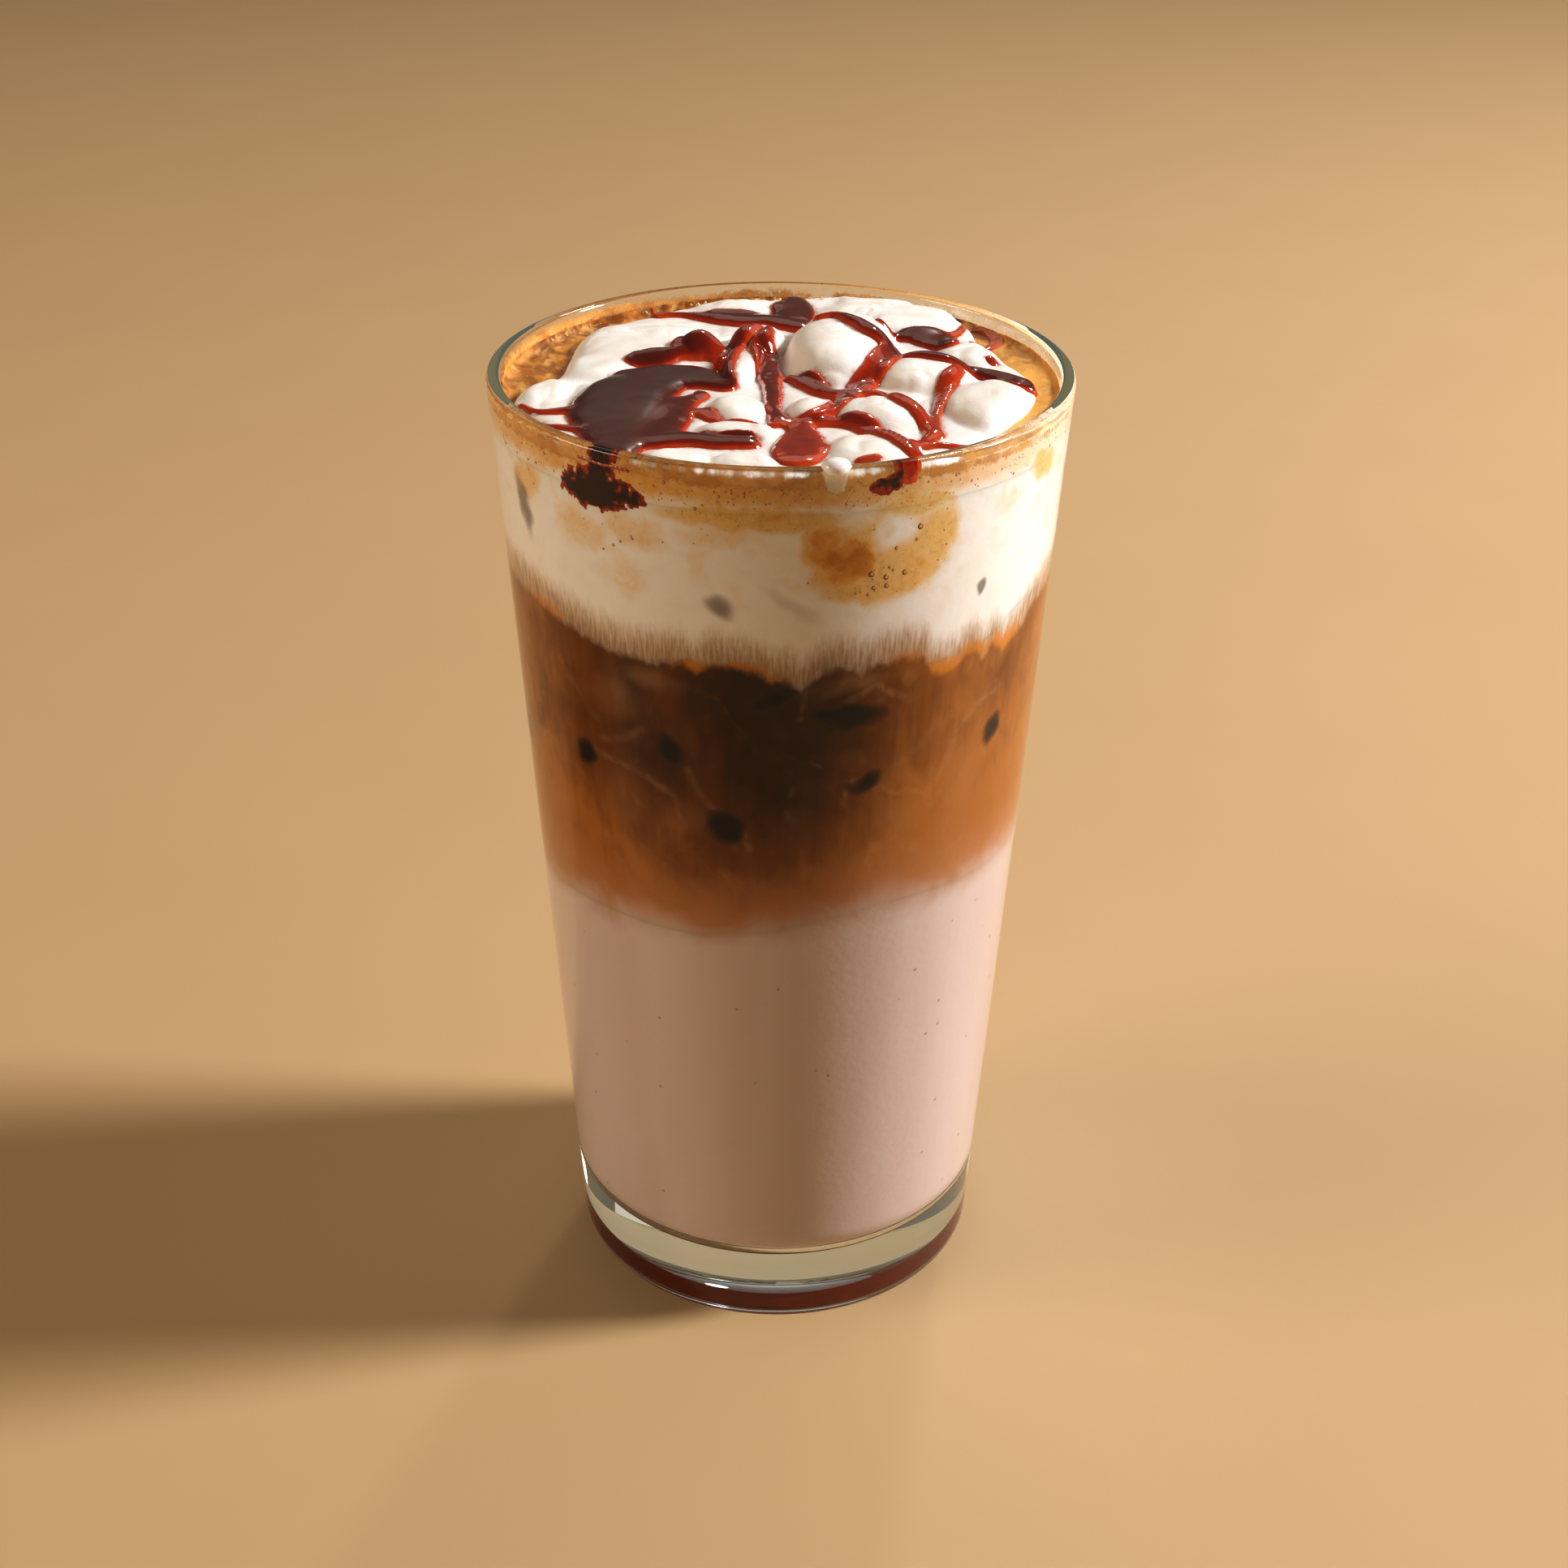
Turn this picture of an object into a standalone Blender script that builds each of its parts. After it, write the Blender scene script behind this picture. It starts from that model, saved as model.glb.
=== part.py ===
"""A layered iced latte in its clear tumbler: strawberry milk, coffee, milk foam and crema, with whipped
cream and thick syrup on top.

Axes: +Z up, the front of the drink faces -Y. Origin: the centre of the circle the glass stands on.
"""

import math

import bmesh
import bpy

MM = 0.001

# The tumbler: a straight cone that widens from its thick base to its fire-polished rim.
GLASS_HEIGHT = 150.0 * MM
RIM_RADIUS = 42.3 * MM
FOOT_RADIUS = 32.7 * MM
RIM_WALL = 2.1 * MM
FOOT_WALL = 3.0 * MM
FLOOR_HEIGHT = 11.6 * MM
FLOOR_CORNER = 5.0 * MM
HEEL_RADIUS = 2.5 * MM
PUNT_RADIUS = 24.0 * MM
PUNT_DEPTH = 0.8 * MM

# Where one layer of the drink gives way to the next, at the wall.
MILK_TOP = 78.0 * MM
COFFEE_TOP = 120.0 * MM
FOAM_TOP = 143.3 * MM
CREMA_TOP = 147.3 * MM
GAP = 0.3 * MM

# Facets round the axis, in every turned piece.
SEGMENTS = 64

# The boundary between milk and coffee: (waves round the glass, height of the wave, phase).
MILK_WAVES = ((1, 3.2 * MM, 0.9), (2, 1.6 * MM, 4.0), (5, 0.8 * MM, 1.0))
# The ragged lower edge of the foam, where it drips into the coffee.
FOAM_WAVES = ((2, 0.8 * MM, 1.7), (5, 1.0 * MM, 3.4), (9, 0.9 * MM, 0.4), (14, 0.6 * MM, 2.0))
# Where the faces of a layer have their rings, as shares of its radius, and the bands up its side.
FACE_RINGS = (0.0, 0.4, 0.75)
WALL_BANDS = 3
# A point of a layer beyond this share of the radius is on its wall.
WALL_SHARE = 0.98

# Whipped cream in overlapping dollops: (x, y, half length, half width, turn in degrees, top), in
# millimetres. Each is a dome with steep sides, and they stand in a low bed of cream.
DOLLOPS = (
    (-20.0, 14.0, 12.5, 11.5, 20, 149.9),
    (-26.5, 3.0, 7.0, 7.0, 0, 149.3),
    (-33.5, -7.5, 5.0, 7.5, 0, 148.8),
    (-3.5, 12.5, 4.5, 5.5, 0, 151.3),
    (9.0, 10.0, 13.5, 7.5, 85, 152.5),
    (-7.0, 31.5, 9.0, 5.0, 0, 149.3),
    (18.0, 27.5, 15.0, 9.0, -35, 149.4),
    (28.0, 10.0, 6.0, 7.0, 0, 149.4),
    (20.5, -1.0, 8.0, 7.0, -30, 150.5),
    (30.0, -13.0, 8.0, 11.0, 10, 150.2),
    (14.0, -17.0, 7.5, 6.5, -35, 150.2),
    (12.5, -31.0, 7.5, 7.5, 20, 149.6),
    (4.5, -15.5, 4.0, 5.0, 0, 149.6),
    (-6.0, -15.0, 5.0, 5.5, 0, 149.7),
    (-5.5, 3.0, 9.0, 3.0, 80, 150.2),
    (-6.0, -24.0, 6.5, 3.5, -10, 149.6),
    (-13.5, -34.5, 6.0, 4.0, -20, 149.4),
    (-5.0, -35.5, 5.5, 4.0, 0, 149.4),
    (-22.0, -12.0, 9.0, 12.0, 30, 148.9),
)
CREAM_SOLE = 147.6 * MM
CREAM_EDGE = 147.9 * MM
CREAM_BED = 148.3 * MM
CREAM_RINGS = 20
# How much lower a dome is at its half length or half width than at its middle.
DOME_DROP = 2.4 * MM
CREASE = 0.35 * MM
# How far the cream spreads from the axis, every fifteen degrees from +X, in millimetres.
CREAM_REACH = (
    36.3, 34.0, 34.5, 39.0, 39.7, 39.7, 39.0, 38.2, 36.2, 35.6, 34.6, 32.4,
    38.0, 38.6, 38.8, 39.7, 39.7, 39.7, 39.7, 39.7, 39.7, 37.0, 36.5, 36.8,
)
# The share of the reach over which the cream's edge rounds down.
CREAM_SKIRT = 0.07

# Syrup strands as lines on the cream: (name, thickness, points of x, y and half width), in millimetres.
STRANDS = (
    ("pool", 1.5, ((-8, -5.1, 2), (-12, -2.1, 4.2), (-17, -2.2, 5.5), (-21, -8.6, 6.5), (-22.5, -17, 7))),
    ("pool_foot", 1.5, ((-22.5, -14, 6.5), (-22, -21.5, 6.3), (-20.5, -28.2, 4.0))),
    ("pool_side", 1.4, ((-11, -9, 1.2), (-14, -13.2, 2.8), (-16, -19.2, 4.5), (-17.1, -25, 5))),
    ("low_arm", 1.4, ((-20.1, -27, 4), (-12, -27, 2.6), (-8, -28, 2.3), (-4.5, -28, 2.2))),
    ("left_tail", 1.0, ((-36.2, -13.3, 0.8), (-33.2, -16.1, 1), (-29.1, -15.6, 1.6), (-24, -13.7, 3))),
    ("upper_arm", 1.5, ((-20.9, 4.6, 2.6), (-17.9, 5.5, 2.8), (-15.4, 6.9, 2), (-12, 9.5, 3.6), (-9, 8.8, 3))),
    ("slant", 1.4, ((-3.9, 13, 1.5), (-5.9, 10.8, 2.4), (-7.5, 7.5, 2.6), (-8.2, 1.5, 2.2), (-9, -3.5, 2.5))),
    ("back_strand", 1.5, ((-19.1, 28.5, 1.4), (-15, 28.2, 1.2), (-7, 26, 3.2), (-2, 25.5, 3), (2.5, 23, 2.8))),
    ("back_blob", 1.5, ((1.8, 35, 2.6), (1.8, 31, 3.9), (1.8, 26, 3.5))),
    ("middle_top", 1.5, ((-1.9, 12.5, 1), (-2.4, 9.6, 1.6), (-2.5, 7, 2.5), (-2, 3, 2.4), (-1.5, -1.1, 2))),
    ("middle_low", 1.5, ((-1.6, 0, 2.1), (-1.1, -8.1, 1.6), (-1, -14.1, 1.4), (0, -19.2, 1.8))),
    ("long_top", 1.7, ((5.3, 15.3, 0.8), (8.2, 15.7, 1), (10.8, 12.5, 1.6), (13.8, 8.2, 2.2), (17.5, 6, 2.2))),
    ("long_low", 1.7, ((16.5, 6.6, 2.2), (22.9, 3, 2.2), (29, 1, 2.3), (34.6, -3.5, 2.5))),
    ("back_oval", 1.4, ((14.8, 17.3, 0.9), (20, 18.4, 2.8), (23, 16.7, 3.6), (24.5, 13.6, 2.4))),
    ("cross_top", 1.5, ((17.4, 8.1, 1.5), (14.9, 2, 2.4), (13.4, -1.7, 2.3), (11, -5.8, 2))),
    ("cross_low", 1.5, ((11.6, -4.8, 2), (9, -10.8, 2), (7.5, -16.6, 1.3), (4, -20.1, 0.8))),
    ("bridge", 1.4, ((1.5, -1.5, 1.2), (4, -4.2, 2.2), (7, -8, 2), (10, -8.2, 1.9))),
    ("right_arc", 1.4, ((9, -8, 1.8), (14, -8.4, 1.5), (16.8, -14.6, 2), (18.9, -18.4, 1.9), (21.1, -24, 1.5))),
    ("right_strand", 1.4, ((25.2, -2, 1.5), (23.6, -6.4, 1.8), (21.6, -16, 1), (21.1, -23, 1.2), (19.1, -28, 1.6))),
    ("front_arch", 1.5, ((2, -21.7, 1.8), (5, -19.9, 1.8), (9.5, -20.5, 1.8), (13, -24.4, 2), (17.9, -33, 1.6))),
    ("front_blob", 1.5, ((3, -21.2, 3.5), (2.8, -28.2, 4.2), (2.5, -34.2, 4))),
    ("thread", 1.1, ((-11, -16.1, 1.8), (-8, -20.2, 1.2), (-4, -22, 1), (0, -20.7, 1.2))),
    ("front_hook", 1.1, ((18.1, -28.9, 1.5), (21.1, -28.2, 1.2), (24.1, -28.1, 1), (26.6, -26.5, 0.9))),
)
STRAND_POINTS = 9
STRAND_SINK = 0.35 * MM
# A strand's ends are this share of its width there.
STRAND_TIP = 0.55
# How close two points are before they are made one.
MERGE = 0.00001
SHARP_ANGLE = math.radians(40)

COLOURS = {
    "clear_glass": (0.90, 0.96, 0.93),
    "strawberry_milk": (0.72, 0.44, 0.36),
    "coffee": (0.22, 0.08, 0.03),
    "milk_foam": (0.86, 0.76, 0.64),
    "crema": (0.66, 0.38, 0.15),
    "cream_and_syrup": (0.93, 0.89, 0.82),
}


def clear_scene():
    for old in list(bpy.data.objects):
        bpy.data.objects.remove(old, do_unlink=True)


def material(name, roughness=0.4, transmission=0.0):
    """A plain material of the part's own colour."""
    made = bpy.data.materials.new(name)
    made.use_nodes = True
    shader = made.node_tree.nodes["Principled BSDF"]
    shader.inputs["Base Color"].default_value = (*COLOURS[name], 1.0)
    shader.inputs["Roughness"].default_value = roughness
    shader.inputs["Metallic"].default_value = 0.0
    shader.inputs["Transmission Weight"].default_value = transmission
    return made


def arc(centre, radius, start, end, steps):
    """Points of an arc in the (radius, height) plane, from one angle to another in degrees."""
    points = []
    for step in range(steps + 1):
        angle = math.radians(start + (end - start) * step / steps)
        points.append((centre[0] + radius * math.cos(angle), centre[1] + radius * math.sin(angle)))
    return points


def outer_radius(height):
    return FOOT_RADIUS + (RIM_RADIUS - FOOT_RADIUS) * height / GLASS_HEIGHT


def inner_radius(height):
    """The wall is thickest at the foot and thins evenly up to the rim. Its corner with the floor is round."""
    wall = FOOT_WALL + (RIM_WALL - FOOT_WALL) * height / GLASS_HEIGHT
    rise = height - FLOOR_HEIGHT
    inset = 0.0
    if rise < FLOOR_CORNER:
        low = FLOOR_CORNER - max(rise, 0.0)
        inset = FLOOR_CORNER - math.sqrt(max(FLOOR_CORNER**2 - low**2, 0.0))
    return outer_radius(height) - wall - inset


def turned(name, profile, collection):
    """An object turned round Z from a profile of (radius, height) points, with the Screw already made mesh."""
    guide = bpy.data.meshes.new(name + "_profile")
    guide.from_pydata([(r, 0.0, z) for r, z in profile], [(i, i + 1) for i in range(len(profile) - 1)], [])
    holder = bpy.data.objects.new(name + "_profile", guide)
    collection.objects.link(holder)
    screw = holder.modifiers.new("Turn", "SCREW")
    screw.axis = "Z"
    screw.steps = screw.render_steps = SEGMENTS
    screw.use_merge_vertices = True
    screw.merge_threshold = MERGE
    bpy.context.view_layer.update()
    evaluated = holder.evaluated_get(bpy.context.evaluated_depsgraph_get())
    mesh = bpy.data.meshes.new_from_object(evaluated)
    bpy.data.objects.remove(holder)
    mesh.name = name
    made = bpy.data.objects.new(name, mesh)
    collection.objects.link(made)
    return made


def finish(made, look):
    made.data.materials.clear()
    made.data.materials.append(look)
    made.data.shade_smooth()
    made.data.set_sharp_from_angle(angle=SHARP_ANGLE)
    return made


def make_glass(collection):
    """The wall and the thick floor in one turned piece, with a shallow punt under the foot."""
    corner_centre = (inner_radius(FLOOR_HEIGHT + FLOOR_CORNER) - FLOOR_CORNER, FLOOR_HEIGHT + FLOOR_CORNER)
    rim_centre = (RIM_RADIUS - RIM_WALL / 2, GLASS_HEIGHT - RIM_WALL / 2)
    heel_centre = (outer_radius(HEEL_RADIUS) - HEEL_RADIUS, HEEL_RADIUS)
    profile = [(0.0, FLOOR_HEIGHT)]
    profile += arc(corner_centre, FLOOR_CORNER, -90, 0, 5)
    profile += arc(rim_centre, RIM_WALL / 2, 180, 0, 6)
    profile += arc(heel_centre, HEEL_RADIUS, 0, -90, 3)
    profile += [(PUNT_RADIUS + PUNT_DEPTH, 0.0), (PUNT_RADIUS - PUNT_DEPTH, PUNT_DEPTH), (0.0, PUNT_DEPTH)]
    return finish(turned("glass", profile, collection), material("clear_glass", 0.02, 1.0))


def waves(terms, angle):
    return sum(size * math.sin(count * angle + phase) for count, size, phase in terms)


def make_layer(name, bottom, top, low_waves, high_waves, collection, roughness):
    """One layer of the drink, out to the glass: a turned slug whose two faces then take their waves.

    A point keeps its share of the way up the layer, and goes back to the wall's own radius there.
    """
    edge = inner_radius(top) - GAP
    foot = inner_radius(bottom) - GAP
    profile = [(edge * share, top) for share in FACE_RINGS]
    for band in range(WALL_BANDS + 1):
        down = band / WALL_BANDS
        profile.append((edge + (foot - edge) * down, top + (bottom - top) * down))
    profile += [(foot * share, bottom) for share in reversed(FACE_RINGS)]
    made = turned(name, profile, collection)
    for vertex in made.data.vertices:
        x, y, z = vertex.co
        reach = math.hypot(x, y)
        angle = math.atan2(y, x)
        share = (z - bottom) / (top - bottom)
        on_wall = reach > (inner_radius(z) - GAP) * WALL_SHARE
        part = min(reach / inner_radius(z), 1.0)
        lift = (1 - share) * waves(low_waves, angle) + share * waves(high_waves, angle)
        height = z + lift * part
        if on_wall:
            new_reach = inner_radius(height) - GAP
            vertex.co.x, vertex.co.y = new_reach * math.cos(angle), new_reach * math.sin(angle)
        vertex.co.z = height
    return finish(made, material(name, roughness))


def make_milk(collection):
    """The lowest layer rests on the glass floor, so its own foot has the floor's round corner."""
    bottom = FLOOR_HEIGHT + GAP
    rounding = FLOOR_CORNER - GAP
    centre = (inner_radius(bottom + rounding) - GAP - rounding, bottom + rounding)
    edge = inner_radius(MILK_TOP) - GAP
    profile = [(edge * share, MILK_TOP) for share in (*FACE_RINGS, 1.0)]
    profile += arc(centre, rounding, 0, -90, 4)
    profile.append((0.0, bottom))
    made = turned("strawberry_milk", profile, collection)
    for vertex in made.data.vertices:
        x, y, z = vertex.co
        if z > MILK_TOP - GAP / 2:
            angle = math.atan2(y, x)
            reach = math.hypot(x, y)
            height = MILK_TOP + waves(MILK_WAVES, angle) * min(reach / edge, 1.0)
            if reach > edge * WALL_SHARE:
                reach = inner_radius(height) - GAP
            vertex.co = (reach * math.cos(angle), reach * math.sin(angle), height)
    return finish(made, material("strawberry_milk", 0.3))


def dome_height(x, y, dollop):
    """Height of one dollop's dome over a point: its top, less a drop that grows with the fourth power."""
    cx, cy, half_length, half_width, turn, top = dollop
    angle = math.radians(turn)
    dx, dy = x - cx * MM, y - cy * MM
    along = (dx * math.cos(angle) + dy * math.sin(angle)) / (half_length * MM)
    across = (dy * math.cos(angle) - dx * math.sin(angle)) / (half_width * MM)
    return top * MM - DOME_DROP * (along**2 + across**2) ** 2


def cream_height(x, y):
    """The cream's surface: the highest dollop, with a rounded crease where two of them meet."""
    heights = [dome_height(x, y, dollop) for dollop in DOLLOPS] + [CREAM_BED]
    highest = max(heights)
    total = sum(math.exp((height - highest) / CREASE) for height in heights)
    return highest + CREASE * math.log(total)


def between(before, start, end, after, share):
    """A value on the smooth curve through four evenly spaced ones, from the second to the third."""
    slope = end - before
    bend = 2 * before - 5 * start + 4 * end - after
    twist = 3 * start - before - 3 * end + after
    return start + 0.5 * (slope * share + bend * share**2 + twist * share**3)


def cream_reach(angle):
    """How far the cream spreads from the axis in one direction, never past the wall."""
    count = len(CREAM_REACH)
    place = (math.degrees(angle) % 360) * count / 360
    first = int(place)
    four = [CREAM_REACH[(first + step) % count] for step in (-1, 0, 1, 2)]
    return min(between(*four, place - first) * MM, inner_radius(CREAM_EDGE) - GAP)


def make_cream(collection):
    """The dollops as one turned disc, spread to the cream's outline and lifted to its surface."""
    profile = [(ring / CREAM_RINGS, 1.0) for ring in range(CREAM_RINGS + 1)]
    profile += [(1.0, 0.0), (0.0, 0.0)]
    made = turned("cream_and_syrup", profile, collection)
    for vertex in made.data.vertices:
        x, y, z = vertex.co
        share = math.hypot(x, y)
        angle = math.atan2(y, x)
        reach = share * cream_reach(angle)
        px, py = reach * math.cos(angle), reach * math.sin(angle)
        inward = min((1.0 - share) / CREAM_SKIRT, 1.0)
        rounding = math.sqrt(max(inward * (2.0 - inward), 0.0))
        top = CREAM_EDGE + (cream_height(px, py) - CREAM_EDGE) * rounding
        vertex.co = (px, py, top if z > GAP else CREAM_SOLE)
    return finish(made, material("cream_and_syrup", 0.35))


def smooth_line(points, count):
    """Points spaced along a smooth curve through the given ones."""
    padded = [points[0], *points, points[-1]]
    spans = len(points) - 1
    line = []
    for index in range(count):
        place = spans * index / (count - 1)
        span = min(int(place), spans - 1)
        line.append(tuple(between(*four, place - span) for four in zip(*padded[span : span + 4])))
    return line


def make_strand(name, thickness, points, collection):
    """One strand of syrup: a bevelled curve laid on the cream, then flattened to its thickness."""
    line = smooth_line(points, STRAND_POINTS)
    widest = max(point[2] for point in line) * MM
    curve = bpy.data.curves.new(name, "CURVE")
    curve.dimensions = "3D"
    curve.bevel_depth = widest
    curve.bevel_resolution = 2
    curve.use_fill_caps = True
    spline = curve.splines.new("POLY")
    spline.points.add(STRAND_POINTS - 1)
    for index, (x, y, half_width) in enumerate(line):
        tip = STRAND_TIP if index in (0, STRAND_POINTS - 1) else 1.0
        spline.points[index].co = (x * MM, y * MM, 0.0, 1.0)
        spline.points[index].radius = tip * half_width * MM / widest
    holder = bpy.data.objects.new(name, curve)
    collection.objects.link(holder)
    bpy.context.view_layer.update()
    mesh = bpy.data.meshes.new_from_object(holder.evaluated_get(bpy.context.evaluated_depsgraph_get()))
    bpy.data.objects.remove(holder)
    flat = thickness * MM / widest
    body = bmesh.new()
    body.from_mesh(mesh)
    bmesh.ops.remove_doubles(body, verts=body.verts, dist=MERGE)
    for vertex in body.verts:
        x, y, z = vertex.co
        ground = cream_height(x, y) - STRAND_SINK
        vertex.co.z = max(ground + z * flat, CREAM_SOLE + GAP / 2)
    bmesh.ops.recalc_face_normals(body, faces=body.faces)
    body.to_mesh(mesh)
    body.free()
    made = bpy.data.objects.new(name, mesh)
    collection.objects.link(made)
    return made


def fuse(base, collection):
    """One Boolean union of the base with every strand in the collection, applied to the base's mesh."""
    union = base.modifiers.new("Fuse", "BOOLEAN")
    union.operation = "UNION"
    union.operand_type = "COLLECTION"
    union.collection = collection
    union.solver = "MANIFOLD"
    bpy.context.view_layer.update()
    joined = bpy.data.meshes.new_from_object(base.evaluated_get(bpy.context.evaluated_depsgraph_get()))
    base.modifiers.remove(union)
    joined.name = base.name
    base.data = joined
    for strand in list(collection.objects):
        bpy.data.objects.remove(strand)
    return base


def main():
    clear_scene()
    latte = bpy.data.collections.new("layered_latte")
    strands = bpy.data.collections.new("syrup_strands")
    bpy.context.scene.collection.children.link(latte)
    bpy.context.scene.collection.children.link(strands)
    make_glass(latte)
    make_milk(latte)
    make_layer("coffee", MILK_TOP + GAP, COFFEE_TOP, MILK_WAVES, FOAM_WAVES, latte, 0.25)
    make_layer("milk_foam", COFFEE_TOP + GAP, FOAM_TOP, FOAM_WAVES, (), latte, 0.5)
    make_layer("crema", FOAM_TOP + GAP, CREMA_TOP, (), (), latte, 0.6)
    cream = make_cream(latte)
    for name, thickness, points in STRANDS:
        make_strand(name, thickness, points, strands)
    fuse(cream, strands)


main()
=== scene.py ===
# %% [markdown]
# # A layered iced latte in its glass
# The drink stands in a tall flared tumbler. From the bottom up it has strawberry milk, coffee with ice sunk in
# it, milk foam and a thin crema. Whipped cream lies on top in soft dollops, with thick dark syrup trailed over
# it. The solid model gives every place and size. This lesson makes the fine surfaces that go over it.

# %% Load the solid model
import math

import bpy
import numpy as np
from mathutils import Matrix, Vector


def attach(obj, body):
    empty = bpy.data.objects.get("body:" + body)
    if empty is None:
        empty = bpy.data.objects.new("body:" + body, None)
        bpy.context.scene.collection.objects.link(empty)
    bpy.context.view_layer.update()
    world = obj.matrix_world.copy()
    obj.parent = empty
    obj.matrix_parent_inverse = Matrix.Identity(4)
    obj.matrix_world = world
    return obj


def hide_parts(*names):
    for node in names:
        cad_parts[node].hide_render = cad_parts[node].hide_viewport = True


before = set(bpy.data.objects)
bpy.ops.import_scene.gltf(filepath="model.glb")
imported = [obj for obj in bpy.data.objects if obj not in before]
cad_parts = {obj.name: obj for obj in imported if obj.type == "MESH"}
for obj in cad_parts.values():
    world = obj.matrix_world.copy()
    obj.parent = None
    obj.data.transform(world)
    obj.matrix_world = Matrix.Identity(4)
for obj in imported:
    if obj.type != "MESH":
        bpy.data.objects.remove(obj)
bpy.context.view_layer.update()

print("solids:", sorted(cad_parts))

# %% [markdown]
# ## Units and the shape of the glass
# All lengths below are in millimetres, and a mesh is turned into metres when it is made. A place on the wall is
# given by its angle from the front, in degrees, growing to the right, and by its height.

# %% The tumbler's measures
MM = 0.001
GLASS_HEIGHT = 150.0
RIM_RADIUS = 42.3
FOOT_RADIUS = 32.7
RIM_WALL = 2.1
FOOT_WALL = 3.0
FLOOR_HEIGHT = 11.6
FLOOR_CORNER = 5.0
HEEL_RADIUS = 2.5
PUNT_RADIUS = 24.0
PUNT_DEPTH = 1.3
# How far the punt's sloping edge goes outside and inside its radius.
PUNT_SLOPE = (3.5, 1.5)
INTO_WALL = 0.15


def outer_radius(height):
    """The outside of the tumbler: a straight cone, from the foot's radius up to the rim's."""
    return FOOT_RADIUS + (RIM_RADIUS - FOOT_RADIUS) * height / GLASS_HEIGHT


def inner_radius(height):
    """The inside: the outer cone less a wall that thins evenly upwards, less the quarter round at the floor."""
    height = np.asarray(height, float)
    wall = FOOT_WALL + (RIM_WALL - FOOT_WALL) * height / GLASS_HEIGHT
    low = np.clip(FLOOR_CORNER - (height - FLOOR_HEIGHT), 0.0, FLOOR_CORNER)
    inset = FLOOR_CORNER - np.sqrt(FLOOR_CORNER**2 - low**2)
    return outer_radius(height) - wall - inset


print("rim opening", round(2 * float(inner_radius(GLASS_HEIGHT)), 1), "mm across")

# %% [markdown]
# ## From arrays to a mesh
# Every surface here is worked out as whole arrays of points, so one helper turns arrays into a mesh. It also
# checks which way a closed surface faces: the sum of the small pyramids between the origin and each face is
# its volume, and a negative sum means that the faces point inwards and have to be turned round.

# %% Helpers for meshes


def signed_volume(points, faces):
    """A sixth of the sum, over all triangles, of corner one dotted with corner two cross corner three."""
    total = 0.0
    for block in faces:
        first = points[block[:, 0]]
        for step in range(1, block.shape[1] - 1):
            second, third = points[block[:, step]], points[block[:, step + 1]]
            total += np.einsum("ij,ij->", first, np.cross(second, third))
    return total / 6.0


def mesh_piece(name, points, faces, material, values=None, closed=True, sharp=None):
    """An object made of points in millimetres and blocks of faces, each an array of corner numbers."""
    points = np.asarray(points, float)
    faces = [np.asarray(block) for block in faces if len(block)]
    if closed and signed_volume(points, faces) < 0:
        faces = [block[:, ::-1] for block in faces]
    corners = np.concatenate([block.reshape(-1) for block in faces])
    counts = np.concatenate([np.full(len(block), block.shape[1]) for block in faces])
    starts = np.concatenate([[0], np.cumsum(counts)[:-1]])
    mesh = bpy.data.meshes.new(name)
    mesh.vertices.add(len(points))
    mesh.vertices.foreach_set("co", (points * MM).astype(np.float32).reshape(-1))
    mesh.loops.add(len(corners))
    mesh.loops.foreach_set("vertex_index", corners.astype(np.int32))
    mesh.polygons.add(len(counts))
    mesh.polygons.foreach_set("loop_start", starts.astype(np.int32))
    mesh.update(calc_edges=True)
    for key, value in (values or {}).items():
        layer = mesh.attributes.new(key, "FLOAT", "POINT")
        layer.data.foreach_set("value", np.asarray(value, np.float32).reshape(-1))
    mesh.validate()
    mesh.shade_smooth()
    if sharp is not None:
        mesh.set_sharp_from_angle(angle=math.radians(sharp))
    mesh.materials.append(material)
    made = bpy.data.objects.new(name, mesh)
    bpy.context.scene.collection.objects.link(made)
    print(name, len(points), "points,", int((counts - 2).sum()), "triangles")
    return made


# %% [markdown]
# Most surfaces are a grid of points, with a row for each ring round the axis. Faces join each row to the next,
# and a fan of triangles closes the last ring to a point on the axis.

# %% Rings, and the faces between them


def grid_faces(rows, columns, closed_round):
    """Quads between the rows of a grid of points. A grid closed round joins its last column to its first."""
    number = np.arange(rows * columns).reshape(rows, columns)
    right = np.roll(number, -1, axis=1)
    if not closed_round:
        number, right = number[:, :-1], right[:, :-1]
    quads = np.stack([number[:-1], right[:-1], right[1:], number[1:]], axis=-1)
    return quads.reshape(-1, 4)


def round_points(radius, height, angles):
    """Points on circles round the axis: one row for each radius and height, one column for each angle."""
    radius, height = np.broadcast_arrays(radius, height)
    if radius.ndim == 1:
        radius, height = radius[:, None], height[:, None]
    x = radius * np.sin(angles)
    y = -radius * np.cos(angles)
    return np.stack([x, y, np.broadcast_to(height, x.shape)], axis=-1)


def pole_faces(ring, pole):
    """A fan of triangles from a ring of points to the single point at its middle."""
    return np.stack([ring, np.roll(ring, -1), np.full(len(ring), pole)], axis=-1)


# %% [markdown]
# ## Smooth random shapes
# Cream and foam are uneven in a soft way. A lattice of seeded random numbers, blended smoothly between its
# points, gives that, and the same seed gives the same cream each time.

# %% Helpers for random shapes and smooth curves
LATTICE_SIZE = 64


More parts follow.
